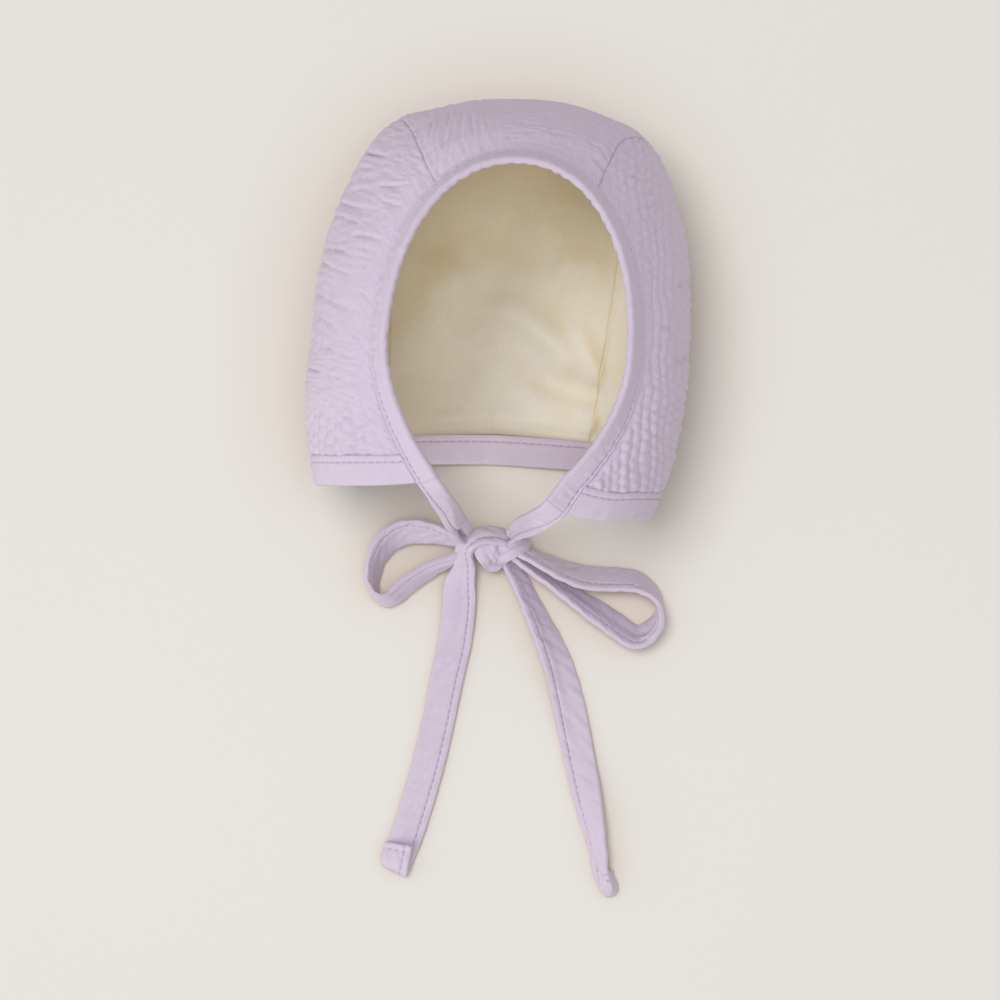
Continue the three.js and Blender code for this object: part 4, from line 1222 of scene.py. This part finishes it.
def turned_frames(frames, side, first_across, first_face, keep):
    """The directions of a tie, which turn from the first ring's own, as keep falls from 1 to 0."""
    lock = (1 - smoothstep(frames["run"], 0, LOCK_REACH))[:, None]
    heading = frames["heading"]
    across = frames["across"] * (1 - keep) + first_across * keep
    slip = np.sum(across * heading, axis=-1, keepdims=True)
    across = unit(across - (1 - lock) * slip * heading)
    face = np.cross(heading, across)
    outwards = side * frames["face"] * (1 - keep) + first_face * keep
    face = face * np.sign(np.sum(face * outwards, axis=-1, keepdims=True))
    return {**frames, "across": across, "face": unit(face * (1 - lock) + first_face * lock)}


def tie_rings(side, rows, hem, settings):
    """Rings of a tie, which goes on from the end of the binding, and the middle line of its tape."""
    start = binding_rings(settings)[0 if side < 0 else -1]
    middle, first_across, first_face = ring_middle(start)
    frames = ribbon_frames([[*middle, *rows[0][3:]]] + rows + hem, settings.tape_cell / MM, len(hem))
    run = frames["run"]
    lip = settings.lip / MM + (settings.tie_lip / MM - settings.lip / MM) * smoothstep(run, 0, LIP_REACH)
    lip = np.minimum(lip, LIP_SHARE * frames["width"])
    a, b = folded_section(frames, TAPE_THICKNESS, lip, TIE_SEED + side)
    to_end = np.arange(len(run), 0, -1)[:, None]
    swell = HEM_SWELL * bell(to_end - HEM_SWELL_RING, HEM_SWELL_WIDTH)
    b = b + np.sign(b) * (swell - HEM_GROOVE * bell(to_end + HEM_RING, HEM_GROOVE_WIDTH))

    offset = start - middle
    first_a, first_b = offset @ first_across, offset @ first_face
    left_over = offset - first_a[:, None] * first_across - first_b[:, None] * first_face
    keep = (1 - smoothstep(run, 0, JOIN_REACH))[:, None]
    frames = turned_frames(frames, side, first_across, first_face, keep)
    rings = ribbon_rings(frames, a * (1 - keep) + first_a * keep, b * (1 - keep) + first_b * keep)
    rings += left_over * keep[..., None]
    rings[..., 2] -= np.minimum(rings[..., 2].min(axis=1) - LOWEST, 0)[:, None]
    return rings, frames["middle"]


def hem_lines(rings):
    """The two lines of the stitches across a tie's hem, and the directions out of its faces there."""
    faces = EDGE_POINTS + FACE_POINTS
    front, back = rings[HEM_RING, EDGE_POINTS:faces], rings[HEM_RING, faces + EDGE_POINTS:][::-1]
    return (front, unit(front - back)), (back, unit(back - front))


# A stitch of thread: its sides, its places along with its thickness there, and how far it sinks in.
THREAD_SIDES = 6
STITCH_PLACES = np.array([0.0, 0.18, 0.5, 0.82, 1.0])
STITCH_THICKNESS = np.array([0.35, 0.85, 1.0, 0.85, 0.35])
STITCH_SUNK = 0.6


def stitch_parts(line, normals, settings):
    """Short thread stitches along a line on a surface, as closed bodies."""
    stitch, space, radius = settings.stitch / MM, settings.stitch_gap / MM, settings.thread / MM
    far = run_length(line[:, None, :], 0)[:, 0]
    starts = np.arange(space, far[-1] - stitch - space, stitch + space)
    turn = np.linspace(0, 2 * math.pi, THREAD_SIDES + 1)[:-1][None, :, None]
    arch = np.sin(STITCH_PLACES * math.pi)[:, None]
    size = (radius * STITCH_THICKNESS)[:, None, None]
    parts = []
    for start in starts:
        at = start + STITCH_PLACES * stitch
        middle = np.stack([np.interp(at, far, line[:, k]) for k in range(3)], axis=-1)
        normal = unit(np.stack([np.interp(at, far, normals[:, k]) for k in range(3)], axis=-1))
        middle = middle + normal * (radius * (arch - STITCH_SUNK))
        side = unit(np.cross(unit(np.gradient(middle, axis=0)), normal))
        round_line = side[:, None, :] * np.cos(turn) + normal[:, None, :] * np.sin(turn)
        parts.append(tube_parts(middle[:, None, :] + round_line * size))
    return parts


def ring_line(rings, index):
    """One line of a tape's rings, and the directions out of its surface there."""
    line = rings[:, index]
    endways = np.gradient(line, axis=0)
    sideways = rings[:, (index + 1) % rings.shape[1]] - rings[:, index - 1]
    normal = unit(np.cross(sideways, endways))
    outward = line - rings.mean(axis=1)
    flip = np.sign(np.sum(normal * outward, axis=-1, keepdims=True))
    return line, normal * np.where(flip == 0, 1, flip)


# Materials

# How each cloth looks: the setting with its colour, its roughness and sheen, how strongly its weave
# stands out, its threads in a millimetre, how uneven they are, and how far their tone varies.
CLOTHS = {
    "Lilac gauze": ("lilac", 0.92, 0.15, 0.5, 1.25, 0.8, 0.05),
    "Lilac tape": ("tape_lilac", 0.9, 0.15, 0.4, 1.7, 0.6, 0.04),
    "Cream lining": ("cream", 0.6, 0.05, 0.18, 2.4, 0.35, 0.03),
    "Lilac thread": ("thread_lilac", 0.7, 0.15, 0.3, 3.5, 0.3, 0.06),
}

# What the cloths share: their sheen and gloss, the height of the weave in metres, how many times
# further from the tint its dark threads are than its light ones, where the tones of the threads and
# of the mottling begin and end, and the shade of the mottling.
SHEEN_ROUGHNESS = 0.45
CLOTH_GLOSS = 0.25
WEAVE_HEIGHT = 0.00035
DARK_THREADS = 1.6
THREAD_TONES = (0.36, 0.62)
MOTTLE_TONES = (0.3, 0.75)
MOTTLE_SHADE = 0.97

# How far, in metres, the lining looks for things that shut out the open air; within that reach its colour
# takes painted warm shade.
LINING_PAINTED_SHADE_REACH = 0.07

# The weave, on the cloth map in millimetres: how its threads bend, how they are uneven along and
# across, the share of the weave in the relief, and the scale of the mottling.
BEND_SCALE = 0.35
BEND_AMOUNT = 1.6
SLUB_ALONG, SLUB_ACROSS = 0.16, 1.7
WEAVE_SHARE = 0.35
MOTTLE_SCALE = 0.09


def add_node(tree, kind, **values):
    """A new node with some of its properties set."""
    node = tree.nodes.new(kind)
    for name, value in values.items():
        setattr(node, name, value)
    return node


def math_node(tree, operation, first, second=None, third=None, clamp=False):
    """The result of a sum, each of its values a socket or a plain number."""
    node = add_node(tree, "ShaderNodeMath", operation=operation, use_clamp=clamp)
    for socket, value in zip(node.inputs, (first, second, third)):
        if isinstance(value, bpy.types.NodeSocket):
            tree.links.new(value, socket)
        elif value is not None:
            socket.default_value = value
    return node.outputs[0]


def group_tree(name, inputs, outputs):
    """A new node group with its sockets, and its input and output nodes."""
    tree = bpy.data.node_groups.new(name, "ShaderNodeTree")
    for socket_name, kind, value in inputs:
        socket = tree.interface.new_socket(socket_name, in_out="INPUT", socket_type=kind)
        if value is not None:
            socket.default_value = value
    for socket_name, kind in outputs:
        tree.interface.new_socket(socket_name, in_out="OUTPUT", socket_type=kind)
    return tree, tree.nodes.new("NodeGroupInput"), tree.nodes.new("NodeGroupOutput")


def noise_value(tree, vector, scale, detail=2.0, roughness=0.5):
    node = add_node(tree, "ShaderNodeTexNoise", noise_dimensions="3D")
    node.inputs["Scale"].default_value = scale
    node.inputs["Detail"].default_value = detail
    node.inputs["Roughness"].default_value = roughness
    tree.links.new(vector, node.inputs["Vector"])
    return node.outputs["Fac"]


def stretched(tree, vector, x, y):
    """A cloth map scaled by x along and by y across."""
    node = add_node(tree, "ShaderNodeMapping", vector_type="POINT")
    node.inputs["Scale"].default_value = (x, y, 1.0)
    tree.links.new(vector, node.inputs["Vector"])
    return node.outputs["Vector"]


def weave_group():
    """Threads over and under each other, uneven threads, and soft mottling, on the cloth map."""
    tree, given, made = group_tree(
        "Gauze weave",
        [("Cloth map", "NodeSocketVector", None), ("Threads per mm", "NodeSocketFloat", 1.3),
         ("Slub", "NodeSocketFloat", 0.5)],
        [("Height", "NodeSocketFloat"), ("Thread", "NodeSocketFloat"), ("Mottle", "NodeSocketFloat")],
    )
    parts = tree.nodes.new("ShaderNodeSeparateXYZ")
    bend = noise_value(tree, given.outputs["Cloth map"], BEND_SCALE)
    tree.links.new(given.outputs["Cloth map"], parts.inputs[0])
    turns = math_node(tree, "MULTIPLY", given.outputs["Threads per mm"], 2 * math.pi)
    waves = []
    for axis in ("X", "Y"):
        shift = math_node(tree, "MULTIPLY", bend, BEND_AMOUNT)
        shifted = math_node(tree, "ADD", parts.outputs[axis], shift)
        waves.append(math_node(tree, "SINE", math_node(tree, "MULTIPLY", shifted, turns)))
    weave = math_node(tree, "MULTIPLY_ADD", math_node(tree, "MULTIPLY", *waves), 0.5, 0.5)
    long_map = stretched(tree, given.outputs["Cloth map"], SLUB_ALONG, SLUB_ACROSS)
    long_way = noise_value(tree, long_map, 1.0, detail=3.0)
    short_map = stretched(tree, given.outputs["Cloth map"], SLUB_ACROSS, SLUB_ALONG)
    short_way = noise_value(tree, short_map, 1.0, detail=3.0)
    slub = math_node(tree, "MULTIPLY", math_node(tree, "ADD", long_way, short_way), 0.5)
    uneven = math_node(tree, "MULTIPLY", slub, given.outputs["Slub"])
    height = math_node(tree, "ADD", math_node(tree, "MULTIPLY", weave, WEAVE_SHARE), uneven)
    tree.links.new(height, made.inputs["Height"])
    tree.links.new(slub, made.inputs["Thread"])
    mottle = noise_value(tree, given.outputs["Cloth map"], MOTTLE_SCALE, detail=4.0, roughness=0.6)
    tree.links.new(mottle, made.inputs["Mottle"])


def mixed_colour(tree, factor, first, second):
    """A colour between two others, each a socket or a plain colour."""
    node = add_node(tree, "ShaderNodeMix", data_type="RGBA", blend_type="MIX")
    tree.links.new(factor, node.inputs["Factor"])
    for socket, value in ((node.inputs[6], first), (node.inputs[7], second)):
        if isinstance(value, bpy.types.NodeSocket):
            tree.links.new(value, socket)
        else:
            socket.default_value = (*value, 1.0)
    return node.outputs[2]


def spread(tree, value, low, high):
    """A value brought to 0 to 1 between two limits, smoothly."""
    node = add_node(tree, "ShaderNodeMapRange", interpolation_type="SMOOTHSTEP")
    node.inputs["From Min"].default_value = low
    node.inputs["From Max"].default_value = high
    tree.links.new(value, node.inputs["Value"])
    return node.outputs[0]


def cloth_material(name, colour, roughness, sheen, bump, threads, slub, tone):
    """A woven cloth: uneven threads in its colour and its relief, with a soft sheen."""
    material = bpy.data.materials.new(name)
    material.use_nodes = True
    tree = material.node_tree
    shader = tree.nodes["Principled BSDF"]
    cloth_map = add_node(tree, "ShaderNodeUVMap", uv_map="cloth")
    weave = add_node(tree, "ShaderNodeGroup", node_tree=bpy.data.node_groups["Gauze weave"])
    weave.inputs["Threads per mm"].default_value = threads
    weave.inputs["Slub"].default_value = slub
    tree.links.new(cloth_map.outputs[0], weave.inputs["Cloth map"])
    base = np.array(colour[:3])
    light, dark = tuple(np.minimum(base * (1 + tone), 1)), tuple(base * (1 - DARK_THREADS * tone))
    thread_tone = spread(tree, weave.outputs["Thread"], *THREAD_TONES)
    thread_colour = mixed_colour(tree, thread_tone, dark, light)
    mottle = spread(tree, weave.outputs["Mottle"], *MOTTLE_TONES)
    mottled = mixed_colour(tree, mottle, tuple(base * MOTTLE_SHADE), thread_colour)
    tree.links.new(mottled, shader.inputs["Base Color"])
    shader.inputs["Roughness"].default_value = roughness
    shader.inputs["Sheen Weight"].default_value = sheen
    shader.inputs["Sheen Roughness"].default_value = SHEEN_ROUGHNESS
    shader.inputs["Specular IOR Level"].default_value = CLOTH_GLOSS
    bump_node = add_node(tree, "ShaderNodeBump")
    bump_node.inputs["Strength"].default_value = bump
    bump_node.inputs["Distance"].default_value = WEAVE_HEIGHT
    tree.links.new(weave.outputs["Height"], bump_node.inputs["Height"])
    tree.links.new(bump_node.outputs[0], shader.inputs["Normal"])
    return material


def paint_shade_where_enclosed(material, tint, reach):
    """Paint a warm shade into a surface's colour where nearby things shut out the open air, as shade looks
    inside a hood or under the bonnet.
    """
    tree = material.node_tree
    shader = tree.nodes["Principled BSDF"]
    colour = shader.inputs["Base Color"].links[0].from_socket
    open_air = add_node(tree, "ShaderNodeAmbientOcclusion", samples=8)
    open_air.inputs["Distance"].default_value = reach
    multiply = add_node(tree, "ShaderNodeMix", data_type="RGBA", blend_type="MULTIPLY")
    tree.links.new(colour, multiply.inputs[6])
    multiply.inputs[7].default_value = (*tint, 1.0)
    # 1 where the open air is shut out: the mask of the painted shade.
    deep = math_node(tree, "SUBTRACT", 1.0, open_air.outputs["AO"], clamp=True)
    tree.links.new(deep, multiply.inputs["Factor"])
    tree.links.new(multiply.outputs[2], shader.inputs["Base Color"])


def material_of(name):
    """One of the bonnet's materials, made the first time that it is asked for."""
    settings = bpy.context.scene.bonnet
    if "Gauze weave" not in bpy.data.node_groups:
        weave_group()
    if name in bpy.data.materials:
        return bpy.data.materials[name]
    setting, *look = CLOTHS[name]
    material = cloth_material(name, getattr(settings, setting), *look)
    # The lining takes painted warm shade where the hood closes round it.
    if name == "Cream lining":
        paint_shade_where_enclosed(material, settings.lining_painted_shade, LINING_PAINTED_SHADE_REACH)
    return material


# Settings

def colour_property(name, description, default):
    return FloatVectorProperty(name=name, description=description, subtype="COLOR", size=3, min=0, max=1,
                               default=default)


def length_property(name, description, default):
    return FloatProperty(name=name, description=description, default=default, min=0, subtype="DISTANCE",
                         unit="LENGTH")


def power_property(name, description, default):
    return FloatProperty(name=name, description=description, default=default, unit="POWER")


class BonnetSettings(PropertyGroup):
    """What a user would change on the bonnet."""

    coarse: FloatProperty(name="Coarseness", description="Size of the panels' mesh cells, 1 for the finest",
                          default=1.0, min=1.0, max=4.0)
    tape_cell: length_property("Tape cell", "Distance between the rings of bands and ties", 0.00065)
    crinkle: length_property("Crinkle", "Depth of the crinkle of the gauze", 0.00022)
    ripple: FloatProperty(name="Ripple", description="Strength of the ripples of the bands", default=1.0)
    lip: length_property("Lip", "Distance of the stitch line from the binding's edge", 0.0016)
    tie_lip: length_property("Tie lip", "Distance of the stitch line from a tie's edge", 0.0029)
    band_lip: length_property("Band lip", "Distance of the stitch line from the neck band's edge", 0.0030)
    stitch: length_property("Stitch", "Length of a stitch", 0.0019)
    stitch_gap: length_property("Stitch gap", "Distance between stitches", 0.0010)
    thread: length_property("Thread", "Radius of the sewing thread", 0.00022)
    lilac: colour_property("Lilac", "Colour of the outer gauze", (0.69, 0.6, 0.735))
    tape_lilac: colour_property("Tape lilac", "Colour of the binding, band and ties", (0.69, 0.6, 0.735))
    thread_lilac: colour_property("Thread colour", "Colour of the sewing thread", (0.48, 0.39, 0.53))
    cream: colour_property("Cream", "Colour of the lining", (0.78, 0.745, 0.655))
    # The warm tint of the lining's painted shade, where the hood encloses it.
    lining_painted_shade: colour_property("Lining painted shade", "Tint of the lining where it is dark", (0.98, 0.79, 0.42))
    floor: colour_property("Floor", "Colour of the floor", (0.7, 0.683, 0.655))
    key_power: power_property("Shell light", "Light on the outside", 4.2)
    lining_power: power_property("Lining light", "Light on the lining", 4.0)
    floor_power: power_property("Floor light", "Light on the floor", 23.0)
    fill_power: power_property("Fill light", "Light from above", 8.5)
    sky: FloatProperty(name="Sky", description="Strength of the light from all around", default=0.5)


# Operators

SIDES = {"left": -1, "right": 1}


class BONNET_OT_stage(Operator):
    """Make the camera, the floor and the lights"""

    bl_idname = "bonnet.stage"
    bl_label = "Camera, floor and lights"

    def execute(self, context):
        settings = context.scene.bonnet
        self.make_camera(context.scene)
        self.make_floor(context.scene, settings.floor)
        for name, (group, place, size, power, share, colour) in LIGHTS.items():
            self.light(context.scene, name, group, place, size, share * getattr(settings, power), colour)
        context.scene.world = self.sky(settings.sky)
        return {"FINISHED"}

    @staticmethod
    def make_camera(scene):
        """The camera, straight above the bonnet, and plain colours in the picture."""
        camera = bpy.data.cameras.new("camera")
        camera.lens = LENS
        camera.sensor_width = SENSOR
        camera.clip_end = CLIP_END
        camera_object = bpy.data.objects.new("camera", camera)
        camera_object.location = Vector(CAMERA_PLACE) * MM
        scene.collection.objects.link(camera_object)
        scene.camera = camera_object
        scene.view_settings.view_transform = "Standard"

    @staticmethod
    def make_floor(scene, colour):
        """A floor of pale paper, with a painted falloff of light that darkens its far side and a painted
        warm shadow about the bonnet.
        """
        corners = [(x * FLOOR_HALF, y * FLOOR_HALF, 0) for x, y in ((-1, -1), (1, -1), (1, 1), (-1, 1))]
        mesh = bpy.data.meshes.new("floor")
        mesh.from_pydata(corners, [], [(0, 1, 2, 3)])
        floor = bpy.data.objects.new("floor", mesh)
        floor.location = FLOOR_PLACE
        scene.collection.objects.link(floor)
        material = bpy.data.materials.new("Pale paper")
        material.use_nodes = True
        tree = material.node_tree
        shader = tree.nodes["Principled BSDF"]
        place = add_node(tree, "ShaderNodeTexCoord")
        parts = tree.nodes.new("ShaderNodeSeparateXYZ")
        tree.links.new(place.outputs["Object"], parts.inputs[0])
        # Painted light: the colour darkens from the near side to the far side, standing in for light that
        # fades across the floor.
        near, far = (tuple(np.array(colour) * shade) for shade in (FLOOR_NEAR_SHADE, FLOOR_FAR_SHADE))
        tone = mixed_colour(tree, spread(tree, parts.outputs["Y"], FLOOR_NEAR_Y, FLOOR_FAR_Y), near, far)
        tree.links.new(tone, shader.inputs["Base Color"])
        # Painted shadow: warm and darker where the bonnet shuts out the open air.
        paint_shade_where_enclosed(material, FLOOR_SHADOW, FLOOR_SHADOW_REACH)
        shader.inputs["Roughness"].default_value = FLOOR_ROUGHNESS
        shader.inputs["Specular IOR Level"].default_value = FLOOR_GLOSS
        mesh.materials.append(material)
        lit_together("floor").objects.link(floor)

    @staticmethod
    def sky(strength):
        """Light from all around, warmer near the floor than overhead."""
        world = bpy.data.worlds.new("sky")
        world.use_nodes = True
        tree = world.node_tree
        direction = add_node(tree, "ShaderNodeTexCoord")
        parts = tree.nodes.new("ShaderNodeSeparateXYZ")
        tree.links.new(direction.outputs["Generated"], parts.inputs[0])
        colour = mixed_colour(tree, spread(tree, parts.outputs["Z"], 0.0, SKY_RISE), SKY_LOW, SKY_HIGH)
        tree.links.new(colour, tree.nodes["Background"].inputs["Color"])
        tree.nodes["Background"].inputs["Strength"].default_value = strength
        return world

    @staticmethod
    def light(scene, name, group, place, size, power, colour):
        """A round light that falls on one group of objects, or on all of them."""
        data = bpy.data.lights.new(name, "AREA")
        data.shape = "DISK"
        data.size = size
        data.energy = power
        data.color = colour
        obj = bpy.data.objects.new(name, data)
        obj.location = place
        aim = Vector(LIGHT_AIM) - Vector(place)
        obj.rotation_euler = aim.to_track_quat("-Z", "Y").to_euler()
        if group:
            obj.light_linking.receiver_collection = lit_together(group)
        scene.collection.objects.link(obj)


class BONNET_OT_ties(Operator):
    """Make both ties, each one tape from the binding through the bow to its hemmed end"""

    bl_idname = "bonnet.ties"
    bl_label = "Ties"

    def execute(self, context):
        settings = context.scene.bonnet
        tables = {
            "tie_left": (-1, STRAP_LEFT + TURN_LEFT + LOOP_LEFT + PASS_LEFT + TAIL_RIGHT, TAIL_RIGHT_HEM,
                         ["tie_strap_left", "bow_loop_left", "tie_tail_right"]),
            "tie_right": (1, STRAP_RIGHT + TURN_RIGHT + LOOP_RIGHT + OVER_KNOT + TAIL_LEFT, TAIL_LEFT_HEM,
                          ["tie_strap_right", "bow_loop_right", "tie_tail_left"]),
        }
        stitches = []
        for name, (side, rows, hem, nodes) in tables.items():
            rings, middle = tie_rings(side, rows, hem, settings)
            obj = joined_object(name, [tube_parts(rings)], material_of("Lilac tape"))
            placed(obj, nodes, "lilac_tape")
            for line in (*(ring_line(rings, index) for index in STITCHED), *hem_lines(rings)):
                stitches += stitch_parts(*line, settings)
        placed(joined_object("tie_stitches", stitches, material_of("Lilac thread")), [], "lilac_tape")
        return {"FINISHED"}


# The knot's turns of tape: how close their rings are, where their stitches lie, how full they are,
# and how deep their pleats.
KNOT_SPACING = 0.7
KNOT_LIP_SHARE = 0.3
KNOT_CROWN = 0.8
KNOT_PLEAT = 0.35
KNOT_SEED = 70

# The rings of the knot's core, and the points of each ring.
CORE_RINGS = 18
CORE_SIDES = 36
CORE_TIP = 0.08


class BONNET_OT_knot(Operator):
    """Make the knot of the bow from the turns of tape that show"""

    bl_idname = "bonnet.knot"
    bl_label = "Knot"

    def execute(self, context):
        settings = context.scene.bonnet
        parts = []
        for number, rows in enumerate(KNOT_WRAPS.values()):
            frames = ribbon_frames(rows, settings.tape_cell / MM * KNOT_SPACING)
            lip = KNOT_LIP_SHARE * frames["width"]
            a, b = folded_section(frames, TAPE_THICKNESS, lip, KNOT_SEED + number, KNOT_CROWN, KNOT_PLEAT)
            parts.append(tube_parts(ribbon_rings(frames, a, b)))
        polar = np.linspace(CORE_TIP, math.pi - CORE_TIP, CORE_RINGS)[:, None]
        turn = np.linspace(0, 2 * math.pi, CORE_SIDES + 1)[:-1][None, :]
        ball = np.stack([np.cos(polar) * np.ones_like(turn), np.sin(polar) * np.cos(turn),
                         np.sin(polar) * np.sin(turn)], axis=-1)
        parts.append(tube_parts(ball * np.array(KNOT_CORE["half"]) + np.array(KNOT_CORE["place"])))
        knot = joined_object("bow_knot_tape", parts, material_of("Lilac tape"))
        placed(knot, ["bow_knot"], "lilac_tape")
        return {"FINISHED"}


class BONNET_OT_outer(Operator):
    """Make the three outer panels of crinkled gauze"""

    bl_idname = "bonnet.outer"
    bl_label = "Outer panels"

    def execute(self, context):
        settings = context.scene.bonnet
        gauze = material_of("Lilac gauze")
        outer_panel("outer_centre", "centre_panel", 0, settings, gauze)
        for name, side in SIDES.items():
            outer_panel("outer_side_" + name, "side_panel_" + name, side, settings, gauze)
        return {"FINISHED"}


class BONNET_OT_lining(Operator):
    """Make the cream lining"""

    bl_idname = "bonnet.lining"
    bl_label = "Lining"

    def execute(self, context):
        settings = context.scene.bonnet
        cream = material_of("Cream lining")
        lining_panel("lining_centre", "centre_lining", 0, settings, cream)
        for name, side in SIDES.items():
            lining_panel("lining_side_" + name, "side_lining_" + name, side, settings, cream)
        return {"FINISHED"}


class BONNET_OT_bands(Operator):
    """Make the face binding and the neck band with their stitches"""

    bl_idname = "bonnet.bands"
    bl_label = "Binding and neck band"

    def execute(self, context):
        settings = context.scene.bonnet
        tape, thread = material_of("Lilac tape"), material_of("Lilac thread")
        for name, rings in (("face_binding", binding_rings(settings)), ("neck_band", band_rings(settings))):
            placed(joined_object(name + "_cloth", [tube_parts(rings)], tape), [name], "lilac_tape")
            stitches = []
            for index in STITCHED:
                stitches += stitch_parts(*ring_line(rings, index), settings)
            placed(joined_object(name + "_stitches", stitches, thread), [], "lilac_tape")
        return {"FINISHED"}


class BONNET_PT_sidebar(Panel):
    """Lists the bonnet's pieces and settings"""

    bl_label = "Baby Bonnet"
    bl_idname = "BONNET_PT_sidebar"
    bl_space_type = "VIEW_3D"
    bl_region_type = "UI"
    bl_category = "Bonnet"

    def draw(self, context):
        layout = self.layout
        for name in BonnetSettings.__annotations__:
            layout.prop(context.scene.bonnet, name)
        for operator in PIECES:
            layout.operator(operator.bl_idname)


PIECES = (
    BONNET_OT_stage,
    BONNET_OT_ties,
    BONNET_OT_knot,
    BONNET_OT_bands,
    BONNET_OT_outer,
    BONNET_OT_lining,
)
CLASSES = (BonnetSettings, *PIECES, BONNET_PT_sidebar)


def register():
    for item in CLASSES:
        bpy.utils.register_class(item)
    bpy.types.Scene.bonnet = PointerProperty(type=BonnetSettings)


def unregister():
    del bpy.types.Scene.bonnet
    for item in reversed(CLASSES):
        bpy.utils.unregister_class(item)


def main():
    register()
    bpy.ops.bonnet.stage()
    bpy.ops.bonnet.ties()
    bpy.ops.bonnet.knot()
    bpy.ops.bonnet.bands()
    bpy.ops.bonnet.outer()
    bpy.ops.bonnet.lining()


if __name__ == "__main__":
    main()
